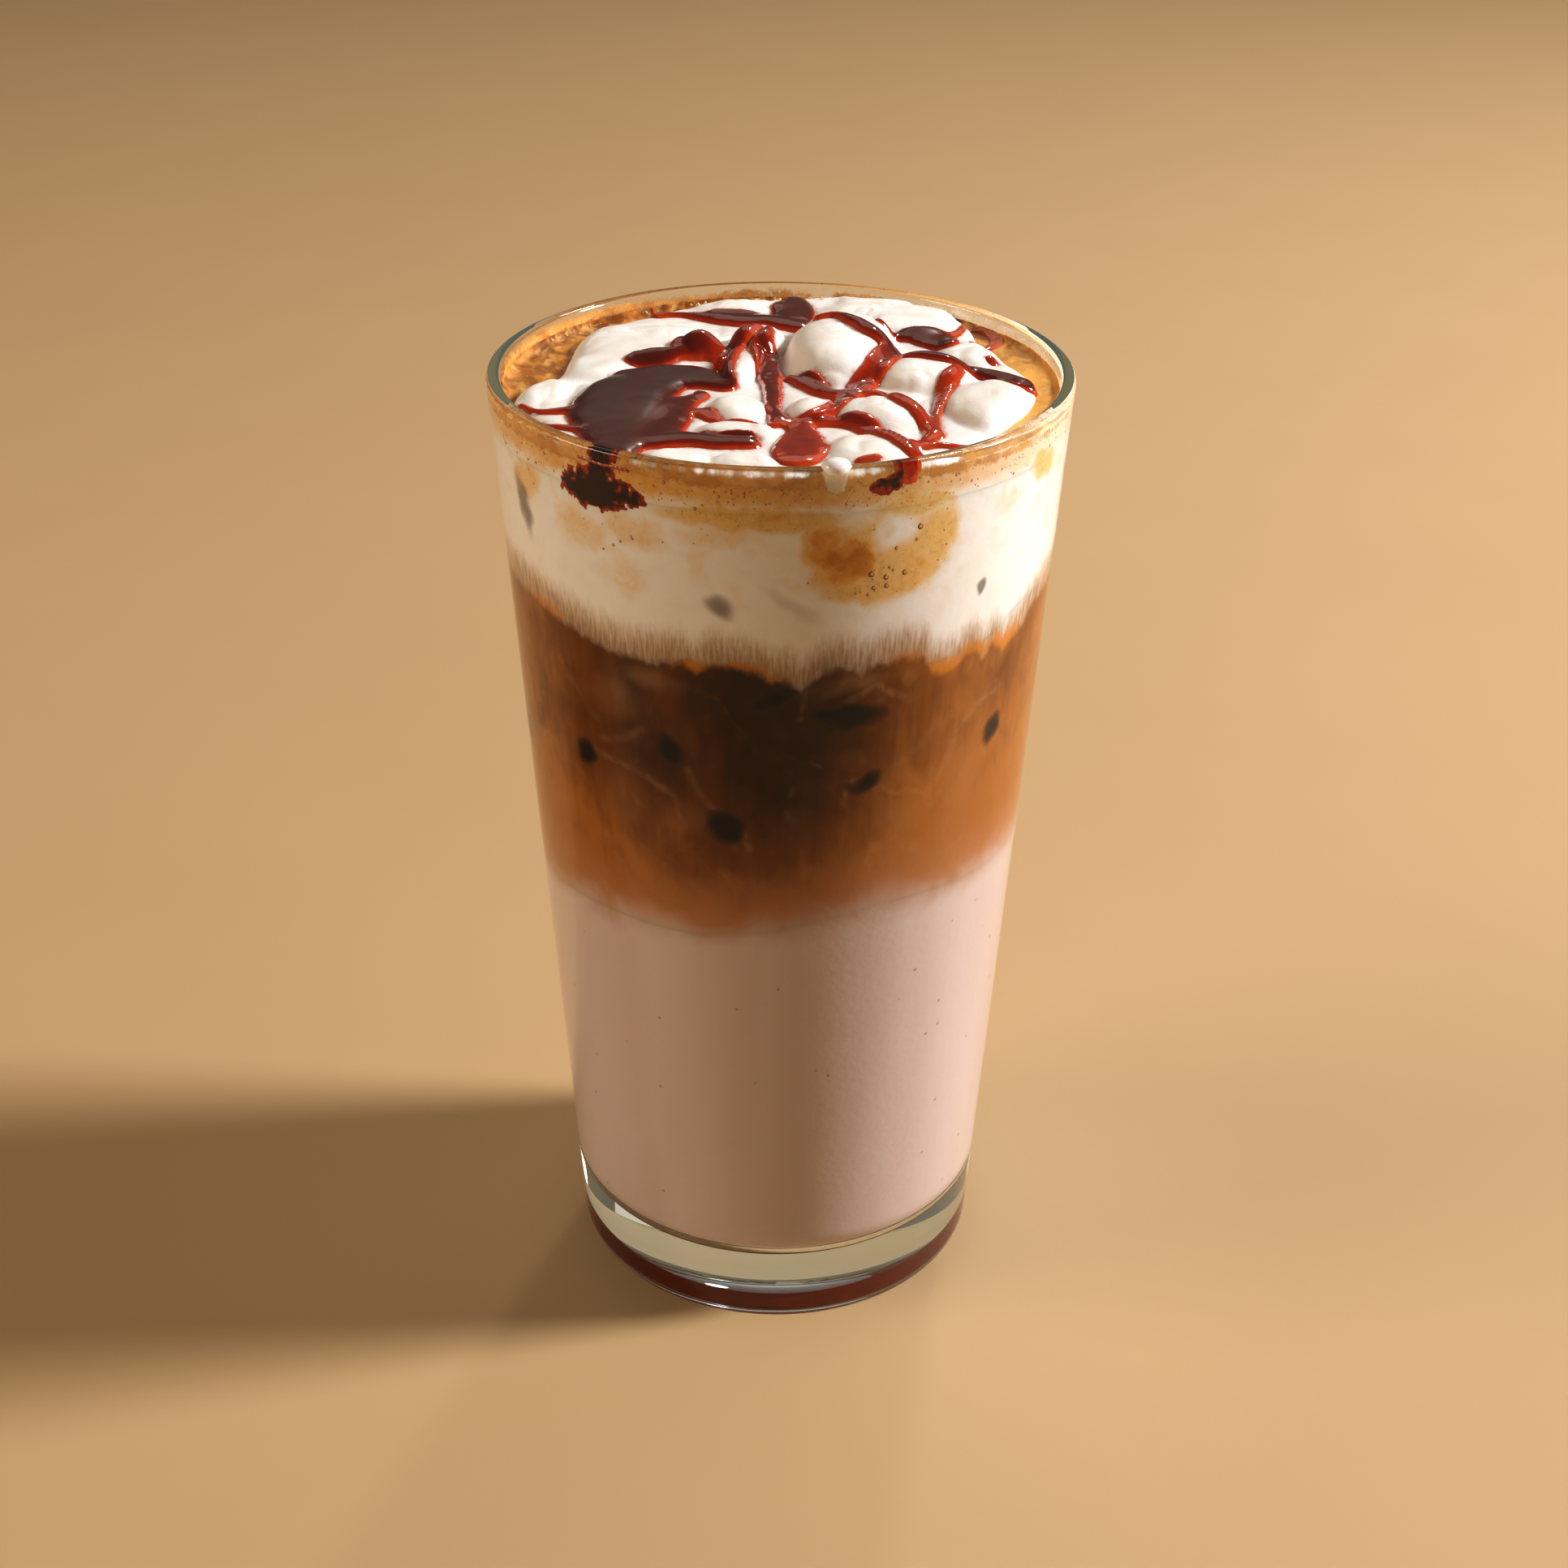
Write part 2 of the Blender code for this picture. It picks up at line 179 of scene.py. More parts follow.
def lattice_noise(x, y, cell, seed):
    """Random heights from -1 to 1 on a square lattice, blended between the nearest four.

    The weight along each axis is 6t^5 - 15t^4 + 10t^3, which leaves no crease at the lattice lines.
    """
    size = LATTICE_SIZE
    table = np.random.default_rng(seed).uniform(-1.0, 1.0, (size, size))
    gx, gy = np.asarray(x) / cell + size / 2, np.asarray(y) / cell + size / 2
    ix, iy = np.floor(gx).astype(int), np.floor(gy).astype(int)
    fx, fy = gx - ix, gy - iy
    wx = fx**3 * (fx * (6 * fx - 15) + 10)
    wy = fy**3 * (fy * (6 * fy - 15) + 10)
    low = table[iy % size, ix % size] * (1 - wx) + table[iy % size, (ix + 1) % size] * wx
    high = table[(iy + 1) % size, ix % size] * (1 - wx) + table[(iy + 1) % size, (ix + 1) % size] * wx
    return low * (1 - wy) + high * wy


def smooth_step(value, low, high):
    """0 below low, 1 above high, and 3t^2 - 2t^3 between them."""
    t = np.clip((np.asarray(value, float) - low) / (high - low), 0.0, 1.0)
    return t * t * (3 - 2 * t)


def curve_between(before, start, end, after, share):
    """The smooth curve through four evenly spaced values, from the second to the third."""
    bend = 2 * before - 5 * start + 4 * end - after
    twist = 3 * start - before - 3 * end + after
    return start + 0.5 * ((end - before) * share + bend * share**2 + twist * share**3)


def smooth_ring(values, degrees):
    """A smooth curve round the axis, through values that stand at even steps from zero degrees."""
    values = np.asarray(values, float)
    place = (np.asarray(degrees) % 360.0) * len(values) / 360.0
    first = np.floor(place).astype(int)
    four = [values[(first + step) % len(values)] for step in (-1, 0, 1, 2)]
    return curve_between(*four, place - first)


def smooth_line(points, count):
    """Points along the smooth curve through the given ones, which it passes at even steps."""
    padded = np.array([points[0], *points, points[-1]], float)
    place = np.linspace(0, len(points) - 1, count)
    span = np.minimum(place.astype(int), len(points) - 2)
    four = [padded[span + step] for step in range(4)]
    return curve_between(*four, (place - span)[:, None])


print("noise at three places:", lattice_noise(np.array([0.0, 2.0, 4.0]), np.zeros(3), 6.0, 21).round(2))

# %% [markdown]
# ## Colours and shader helpers
# A colour is easiest to write as the screen shows it, from 0 to 255. Shaders work with linear light, so a
# helper changes one to the other. The other helpers place a node and link what goes into it. A material
# could be drawn by hand in the editor, but a few helpers keep its steps readable and repeatable.

# %% Helpers for materials


def paint(red, green, blue):
    """A linear colour from screen values: each one is divided by 255 and raised by the screen's curve."""
    screen = np.array([red, green, blue]) / 255.0
    linear = np.where(screen <= 0.04045, screen / 12.92, ((screen + 0.055) / 1.055) ** 2.4)
    return (*linear.tolist(), 1.0)


def place(tree, kind, inputs=None, **settings):
    """A node of that kind, with its settings, and its inputs either set or linked."""
    made = tree.nodes.new("ShaderNode" + kind)
    for key, value in settings.items():
        setattr(made, key, value)
    for key, value in (inputs or {}).items():
        if isinstance(value, bpy.types.NodeSocket):
            tree.links.new(value, made.inputs[key])
        else:
            made.inputs[key].default_value = value
    return made


def sums(tree, operation, *terms):
    """One step of arithmetic on values."""
    return place(tree, "Math", dict(enumerate(terms)), operation=operation).outputs[0]


def between(tree, value, low, high, to_low=0.0, to_high=1.0):
    """The value's place between low and high, eased at both ends."""
    settings = {"Value": value, "From Min": low, "From Max": high, "To Min": to_low, "To Max": to_high}
    return place(tree, "MapRange", settings, interpolation_type="SMOOTHSTEP").outputs[0]


def mixed(tree, share, first, second):
    """The first colour turning into the second as the share goes from 0 to 1."""
    node = place(tree, "Mix", data_type="RGBA")
    for index, value in ((0, share), (6, first), (7, second)):
        if isinstance(value, bpy.types.NodeSocket):
            tree.links.new(value, node.inputs[index])
        else:
            node.inputs[index].default_value = value
    return node.outputs[2]


print("white is", paint(255, 255, 255), "and mid grey is", round(paint(128, 128, 128)[0], 3))

# %% [markdown]
# Patterns come from noise, read at the point's own place on the object, so they stay put from every side. A
# mesh can also carry a number at each of its points. Materials that share an effect share it as a group.

# %% Helpers for patterns, materials and groups


def noise(tree, where, size, detail=3.0, warp=0.0, roughness=0.5):
    """Smooth noise from 0 to 1 whose lumps are about that size in millimetres."""
    inputs = {"Vector": where, "Scale": 1.0 / size, "Detail": detail}
    inputs.update({"Distortion": warp, "Roughness": roughness})
    return place(tree, "TexNoise", inputs).outputs[0]


def stretched(tree, where, x, y, z):
    """The same place with each axis stretched by its own number."""
    return place(tree, "Mapping", {"Vector": where, "Scale": (x, y, z)}).outputs[0]


def measured(tree, name):
    """A number that the mesh carries at each point."""
    return place(tree, "Attribute", attribute_name=name).outputs["Fac"]


def in_millimetres(tree):
    """The point's own place on the object, in millimetres."""
    seen = place(tree, "TexCoord").outputs["Object"]
    return stretched(tree, seen, 1 / MM, 1 / MM, 1 / MM)


def new_material(name, **values):
    """A material with one Principled shader, its plain sockets set by name."""
    made = bpy.data.materials.new(name)
    made.use_nodes = True
    shader = made.node_tree.nodes["Principled BSDF"]
    for key, value in values.items():
        shader.inputs[key.replace("_", " ")].default_value = value
    return made, made.node_tree, shader


def new_group(name, inputs, outputs):
    """An empty shader group with named sockets: (name, kind of socket, value) and (name, kind of socket)."""
    tree = bpy.data.node_groups.new(name, "ShaderNodeTree")
    for socket, kind, value in inputs:
        made = tree.interface.new_socket(socket, in_out="INPUT", socket_type=kind)
        made.default_value = value
    for socket, kind in outputs:
        tree.interface.new_socket(socket, in_out="OUTPUT", socket_type=kind)
    return tree, tree.nodes.new("NodeGroupInput"), tree.nodes.new("NodeGroupOutput")


def bump(tree, height, distance, strength=1.0):
    """A normal tilted by a height, whose full range stands that many metres tall."""
    return place(tree, "Bump", {"Height": height, "Distance": distance, "Strength": strength}).outputs[0]


# %% [markdown]
# ## The camera
# The picture is taken from a little above the rim, looking down by about 28 degrees, with a slight lean. Its
# place was fitted to the ellipses of the rim and the foot. The plain view transform keeps the paints true, and
# a gamma below one gives the picture its contrast.

# %% Camera
VIEW_FROM = (0.93, -323.82, 257.48)
VIEW_DOWN = 28.54
VIEW_LEAN = 0.0084
VIEW_LENS = 53.565
VIEW_SENSOR = 36.0
VIEW_GAMMA = 0.8

camera = bpy.data.objects.new("camera", bpy.data.cameras.new("camera"))
camera.data.sensor_width = VIEW_SENSOR
camera.data.lens = VIEW_LENS
camera.matrix_world = (
    Matrix.Translation(Vector(VIEW_FROM) * MM)
    @ Matrix.Rotation(math.radians(90.0 - VIEW_DOWN), 4, "X")
    @ Matrix.Rotation(VIEW_LEAN, 4, "Z")
)
bpy.context.scene.collection.objects.link(camera)
bpy.context.scene.camera = camera
bpy.context.scene.view_settings.view_transform = "Standard"
bpy.context.scene.view_settings.gamma = VIEW_GAMMA
print("the camera stands", round(math.dist(VIEW_FROM, (0, 0, GLASS_HEIGHT / 2))), "mm from the glass")

# %% [markdown]
# ## The tumbler
# Clear glass shows its shape by its edges, so the profile is turned with many steps: the inside floor, the
# round corner, the wall, the fire-polished rim, the outside, the heel and the shallow punt under the foot.
# The glass is very slightly green, which only shows where the light runs a long way through it, as in the rim.
# There, light is thrown to and fro inside the wall more often than a renderer follows it, and the ends of the
# rim would turn black. A dim warm glow in place of the lost light gives the grey green of the real glass.

# %% Glass material
GLASS_IOR = 1.5
TRAPPED_DEPTH = 4.0
TRAPPED_LIGHT = (0.3, 0.25, 0.15, 1.0)
CLEAR_TINT = (0.985, 1.0, 0.99, 1.0)
LAMPLIGHT_TINT = (0.97, 0.98, 0.97, 1.0)
DEEP_TINT = (0.56, 0.76, 0.7, 1.0)
DEEP_DENSITY = 3.0


def glass_material():
    """Clear glass. Light on its way to a lamp passes straight through, so the drink inside is lit."""
    made, tree, shader = new_material(
        "clear_glass",
        Base_Color=CLEAR_TINT,
        Roughness=0.0,
        IOR=GLASS_IOR,
        Transmission_Weight=1.0,
    )
    output = tree.nodes["Material Output"]
    rays = place(tree, "LightPath")
    passing = sums(tree, "MAXIMUM", rays.outputs["Is Shadow Ray"], rays.outputs["Is Diffuse Ray"])
    clear = place(tree, "BsdfTransparent", {"Color": LAMPLIGHT_TINT})
    trapped = sums(tree, "GREATER_THAN", rays.outputs["Ray Depth"], TRAPPED_DEPTH)
    gathered = place(tree, "Emission", {"Color": TRAPPED_LIGHT})
    inner = place(tree, "MixShader", {0: trapped, 1: shader.outputs[0], 2: gathered.outputs[0]})
    both = place(tree, "MixShader", {0: passing, 1: inner.outputs[0], 2: clear.outputs[0]})
    tree.links.new(both.outputs[0], output.inputs["Surface"])
    depth = place(tree, "VolumeAbsorption", {"Color": DEEP_TINT, "Density": DEEP_DENSITY})
    tree.links.new(depth.outputs[0], output.inputs["Volume"])
    return made


# %% [markdown]
# A glass could be drawn as a curve and spun. Here the profile is worked out as an array and turned round the
# axis, so each of its measures stays a named number.

# %% Arcs, the rim's curve and a turned piece
ROUND_STEPS = 256
RIM_STEPS = 28
RIM_SQUARENESS = 3.4


def arc(centre, radius, start, end, steps):
    """Points of an arc in the radius and height plane, from one angle to another in degrees."""
    turn = np.radians(np.linspace(start, end, steps + 1))
    return np.stack([centre[0] + radius * np.cos(turn), centre[1] + radius * np.sin(turn)], axis=-1)


def rim_curve(centre):
    """The rim's top, from the inside to the outside: a superellipse, flatter on top than a circle.

    Along both axes the sine or cosine of the turn is raised to two over the squareness, keeping its sign.
    """
    turn = np.radians(np.linspace(180, 0, RIM_STEPS + 1))
    across = np.sign(np.cos(turn)) * np.abs(np.cos(turn)) ** (2 / RIM_SQUARENESS)
    up = np.abs(np.sin(turn)) ** (2 / RIM_SQUARENESS)
    return np.array(centre) + RIM_WALL / 2 * np.stack([across, up], axis=-1)


def turned_piece(name, profile, material, steps=ROUND_STEPS):
    """A profile turned round the axis. Its first and last points are on the axis and close the ends."""
    angles = np.linspace(0, 2 * np.pi, steps, endpoint=False)
    rings = round_points(profile[1:-1, 0], profile[1:-1, 1], angles)
    count = rings.shape[0] * steps
    points = np.vstack([rings.reshape(-1, 3), [0, 0, profile[0, 1]], [0, 0, profile[-1, 1]]])
    quads = grid_faces(rings.shape[0], steps, True)
    first = pole_faces(np.arange(steps)[::-1], count)
    last = pole_faces(np.arange(count - steps, count), count + 1)
    return mesh_piece(name, points, [quads, first, last], material)


# %% [markdown]
# The profile starts in the middle of the inside floor and ends in the middle of the foot. The tumbler stands on
# a ring, and the foot rises inside that ring to the punt.

# %% Glass piece
CORNER_STEPS = 14
WALL_STEPS = 14
HEEL_STEPS = 10
PUNT_STEPS = 10
PUNT_RINGS = (16.0, 8.0)


def glass_profile():
    """From the middle of the inside floor, up the inside, over the rim and down to the middle of the foot."""
    corner_top = FLOOR_HEIGHT + FLOOR_CORNER
    corner = (float(inner_radius(corner_top)) - FLOOR_CORNER, corner_top)
    rim = (RIM_RADIUS - RIM_WALL / 2, GLASS_HEIGHT - RIM_WALL / 2)
    heel = (float(outer_radius(HEEL_RADIUS)) - HEEL_RADIUS, HEEL_RADIUS)
    rise = np.linspace(corner_top, rim[1], WALL_STEPS)[1:-1]
    inside = np.stack([inner_radius(rise), rise], axis=-1)
    outside = np.stack([outer_radius(rise[::-1]), rise[::-1]], axis=-1)
    outer, inner = PUNT_RADIUS + PUNT_SLOPE[0], PUNT_RADIUS - PUNT_SLOPE[1]
    reach = np.append(np.linspace(outer, inner, PUNT_STEPS), PUNT_RINGS)
    foot = np.stack([reach, PUNT_DEPTH * smooth_step(-reach, -outer, -inner)], axis=-1)
    return np.vstack([
        [(0.0, FLOOR_HEIGHT)],
        arc(corner, FLOOR_CORNER, -90, 0, CORNER_STEPS),
        inside,
        rim_curve(rim),
        outside,
        arc(heel, HEEL_RADIUS, 0, -90, HEEL_STEPS),
        foot,
        [(0.0, PUNT_DEPTH)],
    ])


tumbler = turned_piece("tumbler", glass_profile(), glass_material())
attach(tumbler, "root")
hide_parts("glass")

# %% [markdown]
# ## Where the layers meet
# The strawberry milk gives way to the coffee in a soft band. The milk foam ends in a comb of fine streaks that
# hang into the coffee. Both lines rise and fall round the glass. Each point of the drink carries how far it is
# above those lines, where ice darkens it and where crema swirls through it, and the material paints from that.
# A picture wrapped round the glass could do the same, but would only be right where the picture shows it.

# %% The lines between the layers
MILK_TOP = 78.0
COFFEE_TOP = 120.0
FOAM_TOP = 143.3
CREMA_TOP = 147.3
MILK_WAVES = ((1, 3.2, 0.9), (2, 1.6, 4.0), (5, 0.8, 1.0))
FOAM_WAVES = ((2, 0.8, 1.7), (5, 1.0, 3.4), (9, 0.9, 0.4), (14, 0.6, 2.0))
# The lower tips of the comb under the foam: angle and height.
COMB_TIPS = (
    (-150, 121.5), (-120, 119.5), (-95, 121.0), (-75, 122.2), (-60, 121.9), (-45, 120.4), (-39, 119.6),
    (-35, 119.3), (-30, 119.1), (-25, 119.2), (-19.5, 120.0), (-16.8, 118.4), (-13.3, 120.5), (-8.7, 120.1),
    (-5, 119.6), (-2, 118.3), (2.5, 118.2), (4.7, 116.8), (7, 118.3), (9.2, 119.5), (13, 119.9), (17, 118.9),
    (20, 119.9), (25, 120.2), (30.3, 120.0), (32.6, 117.3), (36.5, 116.4), (39, 116.5), (41, 117.8),
    (44, 118.4), (46.9, 116.4), (50, 117.7), (54, 115.8), (59, 117.4), (67, 120.2), (85, 121.5), (110, 119.5),
    (135, 121.8), (160, 119.8),
)
# How dark the coffee is every thirty degrees from the front to the right: 1 is darkest. Partly the coffee's own
# depth and partly painted light: lightest at the two sides, where the lamps shine in, darkest at front and
# back.
COFFEE_DEPTH_AND_SHADE = (0.97, 0.44, 0.27, 0.18, 0.4, 0.75, 0.9, 0.7, 0.45, 0.25, 0.38, 0.74)
# How full of coffee the band of crema is, every thirty degrees from the front to the right. It also paints
# light: where it is low, on the lamp's side, the crema's top is painted lighter and the foam's band less tan.
CREMA_DEPTH_AND_LIGHT = (1.0, 0.84, 0.46, 0.45, 0.75, 0.95, 1.0, 1.0, 0.9, 0.75, 0.85, 1.0)


def waves(terms, degrees):
    """A sum of sines round the axis, each with its own count of waves, height and phase."""
    angle = np.radians(np.asarray(degrees) - 90.0)
    return sum(size * np.sin(count * angle + phase) for count, size, phase in terms)


def milk_line(degrees):
    """The middle of the soft band between milk and coffee."""
    return MILK_TOP + waves(MILK_WAVES, degrees)


def foam_line(degrees):
    """The line where the coffee's solid ends and the foam's begins."""
    return COFFEE_TOP + waves(FOAM_WAVES, degrees)


def comb_line(degrees):
    """The tips of the comb, joined by straight lines that run on round the back."""
    angles, heights = np.array(COMB_TIPS, float).T
    return np.interp(degrees, angles, heights, period=360)


front = np.zeros(1)
print("at the front: milk to", milk_line(front).round(1), "mm, comb from", comb_line(front).round(1), "mm")

# %% [markdown]
# Ice shows as dark spots where it nears the wall, and coffee foam is stirred into the milk foam in swirls. Each
# is placed as an ellipse on the wall, with its angle, height, half width, half height, tilt and strength.

# %% Ice and swirls on the wall
ICE_IN_COFFEE = (
    (-46.2, 100.8, 1.5, 1.9, -25, 0.95), (-23.2, 105.9, 1.5, 2.1, 32, 1.0), (-11.3, 94.1, 2.3, 2.2, -35, 1.0),
    (18.9, 101.3, 2.3, 1.15, 28, 0.8), (13.8, 112.5, 4.5, 1.55, -4, 1.0), (-0.6, 115.9, 3.9, 1.3, 30, 0.85),
    (53.5, 103.6, 1.5, 2.0, -30, 0.75), (96.0, 108.0, 2.6, 2.0, 10, 0.8), (128.0, 98.0, 2.2, 2.6, -25, 0.9),
    (151.0, 113.0, 3.8, 1.5, 12, 0.9), (172.0, 103.0, 2.4, 2.0, -10, 0.9), (-152.0, 110.0, 3.0, 1.6, 20, 0.9),
    (-126.0, 100.0, 2.0, 2.4, 30, 0.9), (-97.0, 112.0, 3.4, 1.5, -15, 0.8), (-78.0, 96.0, 2.0, 2.0, 5, 0.7),
)
ICE_IN_FOAM = (
    (-60.5, 136.6, 1.5, 4.6, 14, 0.9), (-11.2, 129.4, 2.3, 1.5, -35, 0.85), (3.0, 129.9, 5.8, 1.1, -38, 0.36),
    (43.9, 128.2, 0.75, 1.2, 0, 1.3), (118.0, 133.0, 2.4, 1.6, 25, 0.6), (-140.0, 131.0, 3.0, 1.5, -20, 0.6),
    (168.0, 128.0, 2.0, 1.4, 10, 0.5),
)
# Coffee foam stirred through the milk foam, and the pale places inside it.
TAN_SPOTS = (
    (20.5, 137.0, 11.8, 8.8, 0, 0.74), (13.0, 136.0, 6.0, 5.4, 24, 1.12), (17.5, 132.5, 8.4, 3.8, -6, 0.8),
    (26.5, 133.4, 5.4, 3.4, 18, 0.85), (8.4, 138.4, 3.6, 5.0, 0, 1.0),
    (31.8, 138.0, 3.6, 6.4, -8, 0.76), (26.0, 143.4, 7.6, 2.6, 0, 0.7), (-41.0, 137.5, 6.6, 4.6, 12, 0.5),
    (-30.0, 139.0, 7.4, 3.6, -15, 0.46), (-31.0, 131.5, 3.6, 4.4, 30, 0.34), (-12.0, 140.0, 8.0, 3.0, 8, 0.4),
    (-4.0, 142.4, 16.0, 2.2, 0, 0.8), (-58.0, 141.0, 5.0, 3.8, 30, 0.55), (48.0, 140.0, 4.2, 2.8, -40, 0.3),
    (62.0, 143.0, 5.0, 3.0, -20, 0.65), (110.0, 137.0, 9.0, 5.5, 15, 0.8), (160.0, 134.0, 7.0, 5.0, -20, 0.7),
    (-150.0, 138.0, 10.0, 4.0, 10, 0.8), (-105.0, 134.5, 8.0, 5.0, -15, 0.7), (85.0, 139.0, 6.0, 3.0, 20, 0.5),
)
PALE_SPOTS = (
    (22.8, 140.0, 4.8, 3.2, 10, 0.72), (15.0, 142.0, 3.6, 1.8, 0, 0.3), (114.0, 140.4, 4.4, 2.8, 20, 0.9),
    (164.5, 136.8, 3.8, 2.4, -15, 0.9), (-142.0, 140.2, 4.6, 1.8, 15, 0.8), (-101.0, 137.6, 4.0, 2.2, -20, 0.9),
    (-37.0, 140.0, 3.4, 1.6, 10, 0.5),
)
ORANGE_SPOTS = (
    (-18.0, 119.0, 2.6, 1.7, 0, 1.0), (-55.0, 121.6, 3.4, 1.5, 0, 0.7), (-8.0, 119.9, 4.2, 1.0, 0, 0.85),
    (-1.2, 118.4, 2.2, 1.0, 0, 0.8), (35.6, 117.0, 4.2, 2.2, 0, 1.0), (54.5, 117.4, 3.4, 4.0, 0, 1.0),
    (44.0, 118.2, 3.4, 1.8, 0, 0.9), (26.0, 119.8, 3.0, 1.4, 0, 0.6),
    (46.9, 114.6, 0.8, 2.4, 0, 1.0), (90.0, 120.5, 6.0, 2.0, 0, 0.8), (140.0, 121.0, 5.0, 1.6, 0, 0.8),
    (-120.0, 119.6, 6.0, 1.6, 0, 0.9), (-85.0, 121.8, 4.0, 1.6, 0, 0.8),
)
HAZE_SPOTS = (
    (-36.5, 112.4, 4.4, 4.2, 0, 0.5), (-27.0, 116.6, 5.4, 2.0, 0, 0.5), (14.0, 117.4, 8.0, 1.8, 6, 0.6),
    (-37.0, 96.0, 5.0, 5.0, 20, 0.25), (27.0, 94.0, 5.0, 4.0, -20, 0.35), (-20.0, 95.0, 4.0, 2.8, 0, 0.3),
    (44.0, 96.0, 4.0, 8.0, -10, 0.4), (100.0, 112.0, 8.0, 3.0, 10, 0.5), (150.0, 100.0, 7.0, 4.0, 20, 0.4),
    (-140.0, 104.0, 7.0, 4.0, -20, 0.4), (-100.0, 98.0, 6.0, 5.0, 10, 0.4),
)
print(len(ICE_IN_COFFEE) + len(ICE_IN_FOAM), "ice spots and", len(TAN_SPOTS), "swirls")

# %% [markdown]
# Threads of milk hang in the coffee along smooth lines. Those in front are listed one by one. Those at the
# sides and behind are seeded random walks, which bend a little at each step like a thread in a slow current.

# %% Threads of milk
# Each thread: half width, strength, and angle and height of points along it.
WISPS = (
    (0.40, 0.50, ((-48.2, 102.2), (-38.3, 101.6), (-30.0, 100.6), (-26.3, 99.4), (-22.8, 98.0), (-21.6, 94.6))),
    (0.35, 0.40, ((-19.3, 103.0), (-15.8, 98.3), (-11.8, 96.6))),
    (0.38, 0.60, ((-9.0, 94.6), (-7.4, 93.2), (-6.1, 90.9))),
    (0.30, 0.45, ((6.1, 118.0), (5.4, 116.0), (4.8, 112.6))),
    (0.42, 0.60, ((14.1, 114.6), (17.5, 115.8), (20.3, 117.0), (23.8, 115.2), (27.4, 114.2))),
    (0.65, 0.50, ((53.0, 110.0), (47.0, 109.0), (41.6, 106.0), (40.2, 103.4), (37.4, 99.8), (34.3, 97.0),
                  (35.7, 95.0))),
    (0.75, 0.22, ((22.4, 101.8), (27.0, 103.4), (31.0, 105.4), (36.0, 109.0))),
    (0.40, 0.60, ((22.8, 100.0), (26.0, 98.7), (31.2, 98.2), (34.0, 97.4))),
    (0.35, 0.60, ((14.2, 97.8), (15.0, 100.2), (16.2, 101.8))),
    (0.80, 0.45, ((20.1, 86.0), (20.8, 88.4), (22.6, 90.0), (26.0, 90.8), (32.6, 88.4))),
    (0.55, 0.40, ((-42.0, 88.0), (-38.0, 84.0), (-35.0, 80.0))),
    (0.50, 0.30, ((-30.0, 108.0), (-34.0, 106.0), (-41.0, 104.4))),
)
WISPS_BEHIND = 12
WALK_STEPS = 4
WALK_BEND = 0.5
# The length of a step round the glass, in degrees, and up it.
WALK_STRIDE = (6.0, 3.6)


def wisps_behind():
    """Threads for the sides and the back: seeded random walks, each step a few millimetres long."""
    random = np.random.default_rng(5)
    across, up = WALK_STRIDE
    made = []
    for _ in range(WISPS_BEHIND):
        place_now = np.array([random.uniform(72, 288), random.uniform(88, 114)])
        heading = random.uniform(0, 2 * np.pi)
        walk = [tuple(place_now)]
        for _ in range(WALK_STEPS):
            heading += random.uniform(-WALK_BEND, WALK_BEND)
            place_now = place_now + np.array([across * math.cos(heading), up * math.sin(heading)])
            walk.append(tuple(place_now))
        made.append((random.uniform(0.4, 0.8), random.uniform(0.22, 0.42), tuple(walk)))
    return tuple(made)


THREADS = WISPS + wisps_behind()
print(len(THREADS), "threads of milk")

# %% [markdown]
# A spot's mark fades with the distance from its middle, which noise bends a little, so that no outline is a
# plain ellipse. A thread's mark fades with the distance from its line. The marks are worked out once for every
# point of the mesh, because hundreds of shapes placed inside a material would be slow and hard to follow.

# %% How strongly each spot marks a point
SPOT_RUFFLE = 1.9
SPOT_PUSH = (0.55, 0.45)
THREAD_STEPS = 14
THREAD_SOFTNESS = 1.3


def way_round(degrees):
    """Millimetres along the wall from the front."""
    return np.radians(degrees) * float(inner_radius(COFFEE_TOP))


def spot_distance(degrees, height, spot):
    """Distance from a spot's middle in units of its half sizes, after noise has bent the place a little."""
    angle, middle, half_width, half_height, tilt, _ = spot
    turned = (np.asarray(degrees) - angle + 180.0) % 360.0 - 180.0
    along = way_round(turned) + SPOT_PUSH[0] * lattice_noise(way_round(degrees), height, SPOT_RUFFLE, 41)
    up = height - middle + SPOT_PUSH[1] * lattice_noise(way_round(degrees), height, SPOT_RUFFLE, 42)
    c, s = math.cos(math.radians(tilt)), math.sin(math.radians(tilt))
    return np.hypot((along * c + up * s) / half_width, (up * c - along * s) / half_height)


def spot_shade(degrees, height, spots, solid, gone):
    """The strongest spot at each point: full inside the share called solid, and nothing beyond gone."""
    shade = np.zeros(np.shape(height))
    for spot in spots:
        away = spot_distance(degrees, height, spot)
        shade = np.maximum(shade, spot[5] * (1 - smooth_step(away, solid, gone)))
    return shade


def line_shade(degrees, height, lines):
    """The strongest thread at each point: its strength times e to the minus squared distance in half widths."""
    shade = np.zeros(np.shape(height))
    for half, strength, places in lines:
        nearest = np.full(np.shape(height), 1e9)
        for angle, middle in smooth_line(places, THREAD_STEPS * len(places)):
            turned = (degrees - angle + 180.0) % 360.0 - 180.0
            nearest = np.minimum(nearest, way_round(turned) ** 2 + (height - middle) ** 2)
        shade = np.maximum(shade, strength * np.exp(-nearest / (THREAD_SOFTNESS * half) ** 2))
    return shade
